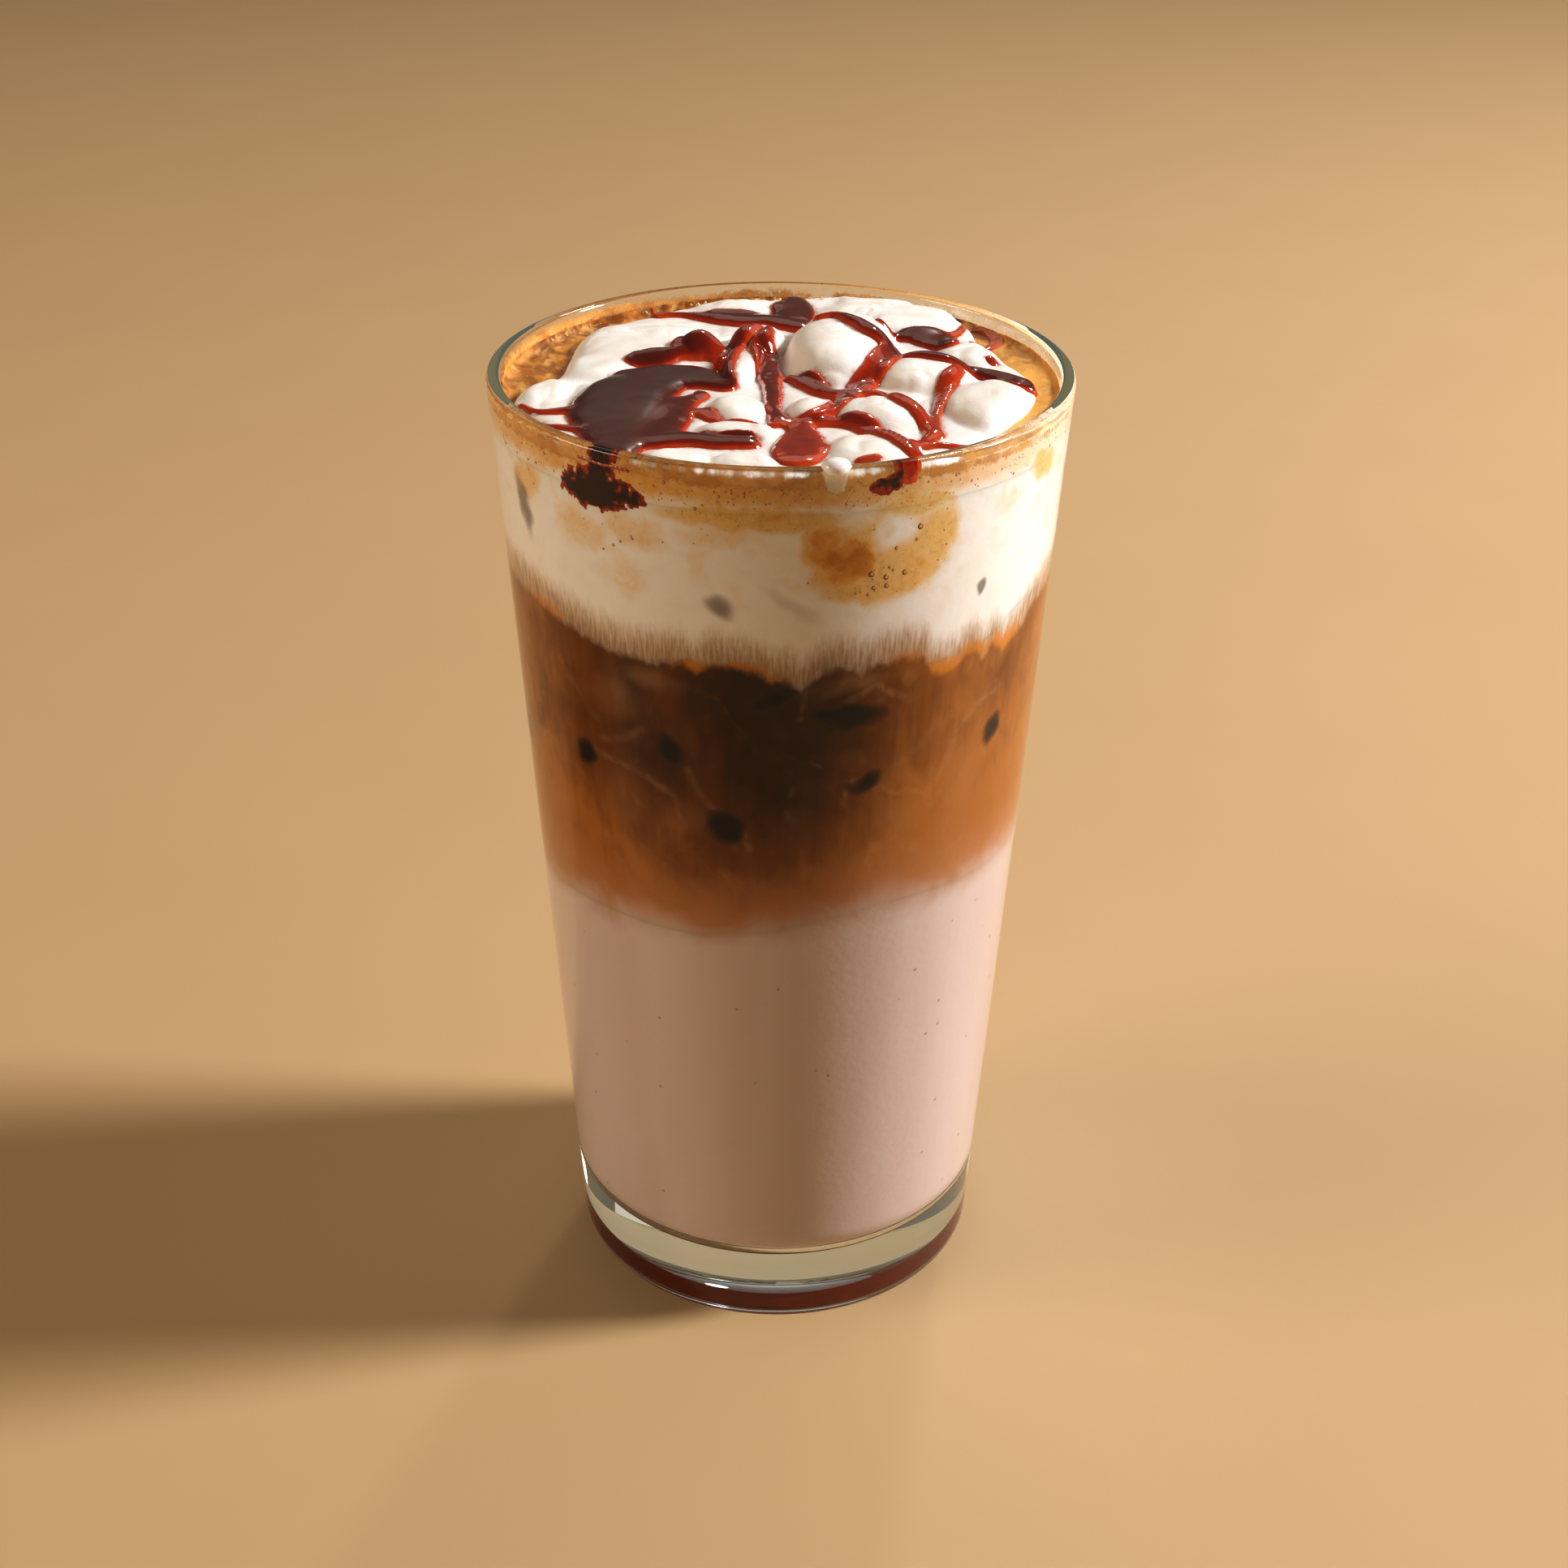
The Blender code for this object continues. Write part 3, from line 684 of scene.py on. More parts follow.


# %% [markdown]
# All that the wall carries goes into the mesh at once, under names that the material reads back: the lines'
# distances, how deep the coffee and the crema are, with painted light in both, and the marks of every kind of
# spot.

# %% Everything that the wall carries


def wall_values(degrees, height):
    """Everything that the drink's material reads at a point of the wall."""
    tan = spot_shade(degrees, height, TAN_SPOTS, 0.35, 1.25)
    pale = spot_shade(degrees, height, PALE_SPOTS, 0.3, 1.1)
    return {
        "above_milk": height - milk_line(degrees),
        "above_comb": height - comb_line(degrees),
        "coffee_depth_and_shade": np.broadcast_to(smooth_ring(COFFEE_DEPTH_AND_SHADE, degrees), height.shape),
        "crema_depth_and_light": np.broadcast_to(smooth_ring(CREMA_DEPTH_AND_LIGHT, degrees), height.shape),
        "ice_coffee": spot_shade(degrees, height, ICE_IN_COFFEE, 0.45, 1.9),
        "ice_foam": spot_shade(degrees, height, ICE_IN_FOAM, 0.2, 1.6),
        "stirred": tan * (1 - pale),
        "orange": spot_shade(degrees, height, ORANGE_SPOTS, 0.6, 1.4),
        "haze": spot_shade(degrees, height, HAZE_SPOTS, 0.1, 1.3),
        "wisp": line_shade(degrees, height, THREADS),
    }


print("ice at its first spot:", wall_values(np.array([-46.2]), np.array([100.8]))["ice_coffee"].round(2))

# %% [markdown]
# ## What the drink looks like through the glass
# One group paints all the layers, because they run into each other. Noise stretched along the glass makes the
# fine vertical streaks of the comb, where foam drains into the coffee.

# %% The comb and the coffee


def around(tree, value, size):
    """Noise from 0 to 1 turned into a push from minus half the size to half of it."""
    return sums(tree, "MULTIPLY_ADD", value, size, -0.5 * size)


def comb_colour(tree, where, above_comb):
    """The colour of the comb, how much of it shows, and how much foam shows above it."""
    fine = noise(tree, stretched(tree, where, 1.0, 1.0, 0.1), 0.36, 3.0)
    middle = noise(tree, stretched(tree, where, 1.0, 1.0, 0.4), 1.7, 2.0)
    ragged = noise(tree, where, 1.0, 3.0)
    level = sums(tree, "ADD", above_comb, around(tree, ragged, 1.3))
    level = sums(tree, "ADD", level, around(tree, middle, 1.7))
    dense = between(tree, level, -1.0, 3.4, 0.55, 1.0)
    in_comb = sums(tree, "MULTIPLY", between(tree, level, -0.7, 0.9), dense)
    rise = sums(tree, "ADD", level, around(tree, fine, 1.5))
    in_foam = between(tree, rise, 2.0, 7.0)
    streak = mixed(tree, between(tree, fine, 0.34, 0.66), paint(188, 156, 128), paint(216, 193, 170))
    orange = sums(tree, "MULTIPLY", measured(tree, "orange"), between(tree, level, 4.2, 0.8))
    streak = mixed(tree, sums(tree, "MULTIPLY", orange, 0.95), streak, paint(226, 148, 44))
    return streak, in_comb, in_foam


def coffee_colour(tree, where, above_milk):
    """Dark brown where deep or in painted shade, and a lighter orange brown where milk has mixed into it."""
    cloud = noise(tree, where, 15.0, 4.0, 0.8)
    small = noise(tree, stretched(tree, where, 1.0, 1.0, 0.6), 4.5, 4.0, 0.6)
    # The darkness read here is partly painted light: lighter at the sides, where the lamps shine in, darkest at
    # front and back.
    depth = sums(tree, "ADD", measured(tree, "coffee_depth_and_shade"), around(tree, cloud, 0.9))
    depth = sums(tree, "ADD", depth, around(tree, small, 0.42))
    poured = noise(tree, stretched(tree, where, 1.0, 1.0, 0.08), 1.1, 3.0)
    depth = sums(tree, "ADD", depth, around(tree, poured, 0.22))
    depth = sums(tree, "SUBTRACT", depth, between(tree, above_milk, 29.0, 5.0, 0.0, 0.58))
    colour = mixed(tree, between(tree, depth, 0.05, 0.6), paint(178, 114, 46), paint(118, 64, 13))
    colour = mixed(tree, between(tree, depth, 0.5, 1.05), colour, paint(54, 22, 1))
    milky = sums(tree, "MULTIPLY", measured(tree, "haze"), between(tree, small, 0.25, 0.7, 0.3, 1.2))
    curl = noise(tree, where, 9.0, 5.0, 1.8)
    broken = noise(tree, where, 2.6, 5.0, 1.4)
    thread = sums(tree, "MULTIPLY", measured(tree, "wisp"), between(tree, broken, 0.3, 0.66, 0.3, 1.15))
    milky = sums(tree, "MAXIMUM", milky, thread)
    milky = sums(tree, "MAXIMUM", milky, between(tree, curl, 0.54, 0.78, 0.0, 0.34))
    return mixed(tree, sums(tree, "MULTIPLY", milky, 0.55), colour, paint(202, 152, 104))


# %% [markdown]
# The foam is pricked with bubbles where there is coffee in it, since those are the bubbles that show. The milk
# is plain but for faint bands, left by the pouring, and a few specks of fruit.

# %% The foam and the milk


def foam_colour(tree, where, height):
    """Warm white, with tan crema at the top and where it is stirred in, pricked with tiny bubbles."""
    cloud = noise(tree, where, 6.0, 5.0, 1.2)
    white = mixed(tree, between(tree, cloud, 0.3, 0.7), paint(252, 247, 247), paint(250, 243, 240))
    ragged = noise(tree, where, 3.4, 6.0, 1.0, 0.6)
    grain = noise(tree, where, 0.8, 4.0)
    band = sums(tree, "ADD", height, around(tree, ragged, 3.4))
    # The crema band is partly painted light: it shows less tan, so lighter, on the lamp's side.
    band = sums(tree, "MULTIPLY", between(tree, band, 142.4, 145.6), measured(tree, "crema_depth_and_light"))
    stirred = sums(tree, "ADD", measured(tree, "stirred"), around(tree, ragged, 0.62))
    rising = between(tree, height, 124.0, 142.0, 0.03, 0.4)
    faint = sums(tree, "MULTIPLY", between(tree, cloud, 0.5, 0.72), rising)
    amount = sums(tree, "MAXIMUM", between(tree, stirred, 0.1, 0.75), sums(tree, "MAXIMUM", faint, band))
    deep = sums(tree, "MAXIMUM", between(tree, stirred, 0.7, 1.25), sums(tree, "MULTIPLY", band, 0.35))
    deep = sums(tree, "ADD", deep, around(tree, noise(tree, where, 2.0, 5.0), 0.8))
    tan = mixed(tree, between(tree, deep, 0.0, 0.6), paint(240, 202, 136), paint(230, 168, 78))
    tan = mixed(tree, between(tree, deep, 0.5, 1.2), tan, paint(194, 124, 28))
    tan = mixed(tree, between(tree, grain, 0.5, 0.8, 0.0, 0.25), tan, paint(158, 98, 28))
    colour = mixed(tree, amount, white, tan)
    cells = place(tree, "TexVoronoi", {"Vector": where, "Scale": 1.5}).outputs["Distance"]
    shown = between(tree, amount, 0.3, 0.9, 0.03, 0.42)
    prick = sums(tree, "MULTIPLY", between(tree, cells, 0.17, 0.07), shown)
    return mixed(tree, prick, colour, paint(120, 70, 26))


def milk_colour(tree, where):
    """Pale pink, faintly banded where it was poured, with a few specks of fruit."""
    bands = noise(tree, stretched(tree, where, 1.0, 1.0, 0.15), 8.0, 2.0)
    milk = mixed(tree, between(tree, bands, 0.3, 0.7), paint(221, 203, 200), paint(218, 198, 193))
    cells = place(tree, "TexVoronoi", {"Vector": where, "Scale": 0.2}).outputs["Distance"]
    return mixed(tree, between(tree, cells, 0.07, 0.045, 0.0, 0.45), milk, paint(120, 70, 56))


# %% [markdown]
# Each layer's colour gives way to the next along the lines between them. Ice is darkest in the middle of its
# spots, with a soft brown halo. The drink darkens in a thin line just above the glass floor, and its underside
# is painted light: a red-brown for the milk's shade there, lightened for the lamplight that the foot gathers.

# %% The layers in one group


def drink_group():
    """All the layers of the drink, painted by place."""
    outputs = [("Color", "NodeSocketColor"), ("Height", "NodeSocketFloat")]
    tree, _, output = new_group("drink_layers", [], outputs)
    where = in_millimetres(tree)
    height = place(tree, "SeparateXYZ", {"Vector": where}).outputs["Z"]
    above_milk = measured(tree, "above_milk")
    coffee = coffee_colour(tree, where, above_milk)
    ice = sums(tree, "ADD", measured(tree, "ice_coffee"), around(tree, noise(tree, where, 1.5, 3.0), 0.3))
    coffee = mixed(tree, between(tree, ice, 0.08, 0.6, 0.0, 0.9), coffee, paint(62, 34, 12))
    coffee = mixed(tree, between(tree, ice, 0.45, 0.95), coffee, paint(13, 9, 7))
    sway = noise(tree, where, 12.0, 3.0, 0.7)
    mixing = sums(tree, "ADD", above_milk, around(tree, sway, 9.0))
    lower = mixed(tree, between(tree, mixing, -4.0, 5.0), milk_colour(tree, where), paint(188, 130, 84))
    lower = mixed(tree, between(tree, mixing, 1.5, 12.5), lower, coffee)
    streak, in_comb, in_foam = comb_colour(tree, where, measured(tree, "above_comb"))
    colour = mixed(tree, in_comb, lower, streak)
    foam = foam_colour(tree, where, height)
    ice = measured(tree, "ice_foam")
    foam = mixed(tree, between(tree, ice, 0.05, 0.95, 0.0, 0.8), foam, paint(122, 104, 92))
    colour = mixed(tree, in_foam, colour, foam)
    foot = between(tree, height, FLOOR_HEIGHT + 1.9, FLOOR_HEIGHT + 0.7)
    colour = mixed(tree, foot, colour, paint(92, 50, 34))
    # Painted light: a red-brown for the shaded underside of the milk, lightened for lamplight gathered by the
    # foot.
    underside_painted_light = mixed(tree, noise(tree, where, 7.0, 4.0, 1.5), paint(96, 34, 24), paint(184, 84, 58))
    colour = mixed(tree, between(tree, height, FLOOR_HEIGHT + 0.3, FLOOR_HEIGHT), colour, underside_painted_light)
    tree.links.new(colour, output.inputs["Color"])
    tree.links.new(noise(tree, where, 1.2, 3.0), output.inputs["Height"])
    return tree


def place_group(tree, group, **inputs):
    """A copy of a shared group, with its inputs set."""
    node = tree.nodes.new("ShaderNodeGroup")
    node.node_tree = group
    for key, value in inputs.items():
        node.inputs[key].default_value = value
    return node


drink_layers = drink_group()
print("the group drink_layers has", len(drink_layers.nodes), "nodes")

# %% [markdown]
# The wet drink has no shine of its own, because milk and glass bend light nearly alike. But light that comes
# down the wall or the foot at a low angle is wholly thrown back, and that makes the pale band in the foot. Some
# light also goes into the milk and comes out beside, which softens the edge of the shade.

# %% The drink's material
MILK_IOR = 1.345
THROWN_BACK = (0.74, 0.84, 0.98, 1.0)


def drink_material():
    """The layers through the glass, mixed with a mirror by the share thrown back at each angle."""
    made, tree, shader = new_material(
        "drink",
        Roughness=0.6,
        Specular_IOR_Level=0.0,
        Subsurface_Weight=0.35,
        Subsurface_Radius=(1.0, 0.6, 0.4),
        Subsurface_Scale=0.003,
    )
    painted = place_group(tree, drink_layers)
    tree.links.new(painted.outputs["Color"], shader.inputs["Base Color"])
    tree.links.new(bump(tree, painted.outputs["Height"], 0.00004), shader.inputs["Normal"])
    meeting = place(tree, "Fresnel", {"IOR": MILK_IOR / GLASS_IOR}).outputs[0]
    thrown_back = place(tree, "BsdfAnisotropic", {"Color": THROWN_BACK, "Roughness": 0.0})
    both = place(tree, "MixShader", {0: meeting, 1: shader.outputs[0], 2: thrown_back.outputs[0]})
    tree.links.new(both.outputs[0], tree.nodes["Material Output"].inputs["Surface"])
    return made


drink = drink_material()
print("light is thrown back beyond", round(math.degrees(math.asin(MILK_IOR / GLASS_IOR)), 1), "degrees")

# %% [markdown]
# ## The layers as pieces
# Each layer is a slug that reaches just into the wall, so no air shows between the drink and the glass. Only
# the side is seen, and it gets the fine grid: the two faces inside the drink are plain.

# %% Milk, coffee and foam
CAP_SHARES = (0.8, 0.4)
CORNER_ROWS = 12
MILK_ROWS, COFFEE_ROWS, FOAM_ROWS = 90, 100, 76
MILK_COLUMNS, COFFEE_COLUMNS, FOAM_COLUMNS = 384, 512, 640


def slug(name, low, high, shares, columns, node):
    """One layer: a fine grid up the wall between two lines, closed by a cap below and a cap above.

    A point's height is the lower line plus its share of the way up to the higher one, and its radius is the
    wall's at that height. A cap's rings shrink to the axis while their heights go to the line's mean.
    """
    degrees = np.linspace(-180, 180, columns, endpoint=False)
    height = low(degrees)[None] + (high(degrees) - low(degrees))[None] * shares[:, None]
    radius = inner_radius(height) + INTO_WALL
    rings, heights = [radius], [height]
    for share in CAP_SHARES:
        mean = height[-1].mean()
        rings.append(radius[-1:] * share)
        heights.append(mean + (height[-1:] - mean) * share)
    for share in CAP_SHARES:
        mean = height[0].mean()
        rings.insert(0, radius[:1] * share)
        heights.insert(0, mean + (height[:1] - mean) * share)
    radius, height = np.vstack(rings), np.vstack(heights)
    angles = np.radians(degrees)
    points = round_points(radius, height, angles).reshape(-1, 3)
    count = len(points)
    poles = [[0, 0, height[0].mean()], [0, 0, height[-1].mean()]]
    values = wall_values(np.broadcast_to(degrees, height.shape), height)
    values = {key: np.append(value.reshape(-1), [0.0, 0.0]) for key, value in values.items()}
    faces = [
        grid_faces(height.shape[0], columns, True),
        pole_faces(np.arange(columns)[::-1], count),
        pole_faces(np.arange(count - columns, count), count + 1),
    ]
    made = mesh_piece(name, np.vstack([points, poles]), faces, drink, values, sharp=40)
    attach(made, "root")
    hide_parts(node)
    return made


def floor_line(degrees):
    """The milk's foot, just into the glass floor."""
    return np.full(np.shape(degrees), FLOOR_HEIGHT - INTO_WALL)


def foam_top_line(degrees):
    """The foam's top, level all round."""
    return np.full(np.shape(degrees), FOAM_TOP)


corner = (1 - np.cos(np.linspace(0, np.pi / 2, CORNER_ROWS))) * FLOOR_CORNER / (MILK_TOP - FLOOR_HEIGHT)
milk_shares = np.concatenate([corner, np.linspace(corner[-1], 1, MILK_ROWS)[1:]])
slug("strawberry_milk_fill", floor_line, milk_line, milk_shares, MILK_COLUMNS, "strawberry_milk")
slug("coffee_fill", milk_line, foam_line, np.linspace(0, 1, COFFEE_ROWS), COFFEE_COLUMNS, "coffee")
slug("milk_foam_fill", foam_line, foam_top_line, np.linspace(0, 1, FOAM_ROWS), FOAM_COLUMNS, "milk_foam")

# %% [markdown]
# ## The crema
# A thin layer of coffee foam, tan with darker mottles, painted lighter on the lamp's side. It shows as a band
# behind the rim and as two crescents beside the cream. It creeps a little way up the wall, and its top is rough
# with small bubbles. Its mottles are drawn out front to back, since foam is dragged that way as the cream is
# spooned on.

# %% The crema's surface and colours
CREMA_CREEP = 0.75
CREEP_FADE = 0.5


def crema_height(x, y):
    """The level, a soft unevenness, and a rise towards the wall that fades over half a millimetre."""
    reach = np.hypot(x, y)
    rise = CREMA_CREEP * np.exp(-np.clip(inner_radius(CREMA_TOP) - reach, 0.0, 40.0) / CREEP_FADE)
    uneven = 0.15 * lattice_noise(x, y, 3.2, 11) + 0.04 * lattice_noise(x, y, 0.9, 12)
    return CREMA_TOP + uneven + rise


def crema_material():
    """The drink's own colours on the side, and on top bubbly tan foam with dark mottles, painted lighter on the
    lamp's side.
    """
    made, tree, shader = new_material(
        "crema_foam",
        Roughness=0.42,
        IOR=1.36,
        Subsurface_Weight=0.2,
        Subsurface_Radius=(1.0, 0.5, 0.25),
        Subsurface_Scale=0.0015,
    )
    side = place_group(tree, drink_layers).outputs["Color"]
    where = in_millimetres(tree)
    spread = stretched(tree, where, 1.0, 0.55, 1.0)
    mottle = noise(tree, spread, 4.2, 4.0, 0.6)
    fine = noise(tree, where, 0.9, 3.0)
    top = mixed(tree, between(tree, mottle, 0.4, 0.62), paint(226, 166, 82), paint(192, 124, 48))
    # Painted light: on the lamp's side the top is painted lighter, and its dark drifts fainter.
    lit = between(tree, measured(tree, "crema_depth_and_light"), 0.8, 0.5, 0.0, 0.8)
    top = mixed(tree, lit, top, paint(250, 190, 92))
    drift = noise(tree, spread, 3.6, 4.0, 0.8)
    shaded = between(tree, measured(tree, "crema_depth_and_light"), 0.5, 0.95, 0.25, 1.0)
    drifted = sums(tree, "MULTIPLY", between(tree, drift, 0.4, 0.58, 0.12, 0.92), shaded)
    top = mixed(tree, drifted, top, paint(128, 70, 22))
    froth = noise(tree, spread, 2.0, 4.0, 0.5)
    top = mixed(tree, between(tree, froth, 0.52, 0.7, 0.0, 0.6), top, paint(242, 200, 128))
    film = between(tree, sums(tree, "MULTIPLY_ADD", mottle, 0.7, measured(tree, "milk_film")), 0.7, 1.1)
    top = mixed(tree, film, top, paint(244, 226, 200))
    cells = place(tree, "TexVoronoi", {"Vector": where, "Scale": 1.1}).outputs["Distance"]
    top = mixed(tree, between(tree, cells, 0.14, 0.06, 0.0, 0.3), top, paint(140, 84, 34))
    tree.links.new(mixed(tree, measured(tree, "on_top"), side, top), shader.inputs["Base Color"])
    domes = sums(tree, "MULTIPLY_ADD", cells, -0.8, fine)
    domes = sums(tree, "MULTIPLY", domes, measured(tree, "on_top"))
    tree.links.new(bump(tree, domes, 0.00012, 0.35), shader.inputs["Normal"])
    return made


print("crema at two places:", crema_height(np.array([0.0, 30.0]), np.array([35.0, 10.0])).round(2), "mm")

# %% [markdown]
# The crema is one closed shape: rings go up the wall, turn in over the top and run on until the cream hides
# them. A disc laid on the foam would have been simpler, but would leave a gap at the glass.

# %% The crema as a piece
CREMA_LIP = CREMA_TOP + 0.72
CREMA_FOOT = FOAM_TOP - 0.05
CREMA_HIDDEN = 21.0
# Where milk films the crema: the middle and the width of the place, in degrees, and the reach it starts at.
MILKY_SIDE = (122.0, 26.0)
MILKY_REACH = (30.0, 35.0)


def make_crema():
    """A band up the wall, then rings that run in over the top as far as the cream hides them."""
    columns, band_rows, top_rows = 640, 14, 52
    degrees = np.linspace(-180, 180, columns, endpoint=False)
    angles = np.radians(degrees)
    band = np.linspace(CREMA_FOOT, CREMA_LIP, band_rows)
    band_radius = inner_radius(band) + INTO_WALL
    top_radius = np.linspace(float(inner_radius(CREMA_TOP)), CREMA_HIDDEN, top_rows)
    top = round_points(top_radius, np.zeros(top_rows), angles)
    top[..., 2] = crema_height(top[..., 0], top[..., 1])
    foot = round_points(np.array([band_radius[0] * 0.5]), np.array([CREMA_FOOT]), angles)
    side = round_points(band_radius, band, angles)
    grid = np.concatenate([foot, side, top])
    rows = grid.shape[0]
    points = grid.reshape(-1, 3)
    count = len(points)
    height = grid[..., 2]
    turned = np.broadcast_to(degrees, height.shape)
    values = wall_values(turned, height)
    values["on_top"] = (np.arange(rows)[:, None] > band_rows) * np.ones(height.shape)
    reach = np.hypot(grid[..., 0], grid[..., 1])
    right = np.exp(-(((turned - MILKY_SIDE[0]) / MILKY_SIDE[1]) ** 2))
    values["milk_film"] = 0.3 * right * smooth_step(reach, *MILKY_REACH)
    values = {key: np.append(value.reshape(-1), [0.0, 0.0]) for key, value in values.items()}
    faces = [
        grid_faces(rows, columns, True),
        pole_faces(np.arange(columns)[::-1], count),
        pole_faces(np.arange(count - columns, count), count + 1),
    ]
    poles = [[0, 0, CREMA_FOOT], [0, 0, CREMA_TOP]]
    return mesh_piece("crema_fill", np.vstack([points, poles]), faces, crema_material(), values, sharp=50)


crema = make_crema()
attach(crema, "root")
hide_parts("crema")

# %% [markdown]
# ## Where the syrup runs
# Each trail of syrup is a smooth line with a half width at every point. The distance to the nearest line, less
# its half width, says whether a point is under syrup, and how deep. The same numbers are used three times: for
# the syrup's own surface, for the cream that lies smooth beneath it, and for the rosy stain beside it. A trail
# also has a darkness: strands stretched thin over a dollop glow orange-red, and the pool is nearly black.

# %% Syrup trails
# Each trail: depth, darkness, and the x, y and half width of points along it.
TRAILS = (
    (1.1, 2.5, ((-8, -5.1, 2), (-12, -2.1, 4.2), (-17, -2.2, 5.5), (-21, -8.6, 6.5), (-22.5, -17, 7))),
    (1.0, 2.3, ((-22.5, -14, 6.5), (-22, -21.5, 6.3), (-21.5, -28.2, 4.4), (-23.0, -33.5, 3.6))),
    (0.8, 1.6, ((-11, -9, 1.2), (-14, -13.2, 2.6), (-16, -19.2, 4.0), (-17.5, -25, 4.2))),
    (1.0, 1.5, ((-20.1, -27, 4), (-12, -27, 2.6), (-8, -28, 2.3), (-4.5, -28, 2.2))),
    (0.7, 1.3, ((-36.2, -13.3, 0.7), (-33.2, -16.1, 0.9), (-29.1, -15.6, 1.5), (-24, -13.7, 3))),
    (1.1, 1.5, ((-20.9, 4.6, 2.2), (-17.9, 5.5, 2.2), (-15.4, 6.9, 1.6), (-13, 9.0, 2.6))),
    (1.5, 0.36, ((-13.6, 9.2, 3.1), (-11.2, 9.6, 3.3), (-9, 8.8, 2.8))),
    (1.0, 0.85, ((-3.9, 13, 1.3), (-5.9, 10.8, 2.1), (-7.5, 7.5, 2.3), (-8.2, 1.5, 2.0), (-9, -3.5, 2.3))),
    (1.0, 1.4, ((-19.1, 28.5, 1.3), (-15, 28.2, 1.1), (-7, 26, 3.0), (-2, 25.5, 2.7), (2.5, 23, 2.5))),
    (1.1, 1.5, ((1.8, 35, 2.6), (1.8, 31, 3.7), (1.8, 26, 3.3))),
    (1.1, 0.9, ((-1.9, 12.5, 1), (-2.4, 9.6, 1.5), (-2.5, 7, 2.3), (-2, 3, 2.2), (-1.5, -1.1, 1.8))),
    (1.0, 1.25, ((-1.6, 0, 1.9), (-1.1, -8.1, 1.5), (-1, -14.1, 1.3), (0, -19.2, 1.7))),
    (1.2, 1.05, ((5.3, 15.3, 0.8), (8.2, 15.7, 1), (10.8, 12.5, 1.5), (13.8, 8.2, 2.0), (17.5, 6, 2.0))),
    (1.2, 1.5, ((16.5, 6.6, 2.0), (22.9, 3, 2.0), (29, 1, 2.1), (34.6, -3.5, 2.4))),
    (1.0, 1.8, ((14.8, 17.3, 0.9), (20, 18.4, 2.6), (23, 16.7, 3.4), (24.5, 13.6, 2.3))),
    (1.0, 0.8, ((17.4, 8.1, 1.4), (14.9, 2, 2.1), (13.4, -1.7, 2.0), (11, -5.8, 1.8))),
    (0.9, 1.2, ((11.6, -4.8, 1.8), (9, -10.8, 1.8), (7.5, -16.6, 1.1), (4, -20.1, 0.7))),
    (1.0, 1.2, ((1.5, -1.5, 1.1), (4, -4.2, 2.0), (7, -8, 1.8), (10, -8.2, 1.7))),
    (1.0, 0.72, ((9, -8, 1.6), (14, -8.4, 1.3), (16.8, -14.6, 1.8), (18.9, -18.4, 1.7), (21.1, -24, 1.4))),
    (1.0, 0.68, ((25.2, -2, 1.3), (23.6, -6.4, 1.6), (21.6, -16, 0.9), (21.1, -23, 1.1), (19.1, -28, 1.5))),
    (1.0, 0.85, ((2, -21.7, 1.6), (5, -19.9, 1.6), (9.5, -20.5, 1.6), (13, -24.4, 1.8), (17.9, -33, 1.5))),
    (0.75, 0.95, ((3, -20.6, 1.4), (3.1, -24.6, 2.6), (2.8, -29.6, 4.0), (2.5, -33.4, 3.3))),
    (0.8, 1.0, ((-11, -16.1, 1.6), (-8, -20.2, 1.0), (-4, -22, 0.8), (0, -20.7, 1.0))),
    (0.7, 1.2, ((18.1, -28.9, 1.3), (21.1, -28.2, 1.0), (24.1, -28.1, 0.8), (26.6, -26.5, 0.7))),
    (0.5, 1.1, ((-35.0, -18.0, 0.5), (-31.0, -21.5, 0.7), (-26.0, -23.5, 1.4))),
    (0.5, 1.1, ((-20.8, 36.0, 0.5), (-19.8, 32.0, 0.6), (-19.3, 28.8, 1.2))),
    (0.8, 1.4, ((-11.6, -8.4, 1.0), (-11.5, -8.3, 1.1))),
    (0.6, 1.8, ((30.8, 6.5, 0.9), (31.0, 6.0, 1.0))),
    (0.5, 0.6, ((24.5, 17.0, 1.2), (27.0, 20.5, 0.8), (28.6, 24.8, 0.7), (31.2, 24.2, 1.0),
                (32.6, 20.0, 1.2), (30.8, 16.0, 1.0), (28.6, 16.4, 0.6))),
    (0.5, 1.4, ((7.2, -12.5, 0.5), (6.4, -15.6, 0.5), (4.0, -18.4, 0.6), (1.0, -19.6, 0.8))),
    (0.6, 0.6, ((10.6, -36.0, 0.9), (12.6, -35.4, 1.0))),
)
print(len(TRAILS), "trails of syrup")

# %% [markdown]
# Syrup rounds over at its edge, because its skin pulls it in, and two trails that cross run together. A swept
# tube for each trail would show its outline at every crossing. A field of distances has none.

# %% How far inside the syrup, and how deep
JOIN = 0.9
TRAIL_STEPS = 48
TRAIL_MARGIN = 9.5
SHOULDER = 2.8
FAR_OUTSIDE = -9.0
NEAREST_COUNTS = 0.75
EDGE_INSET = 0.15


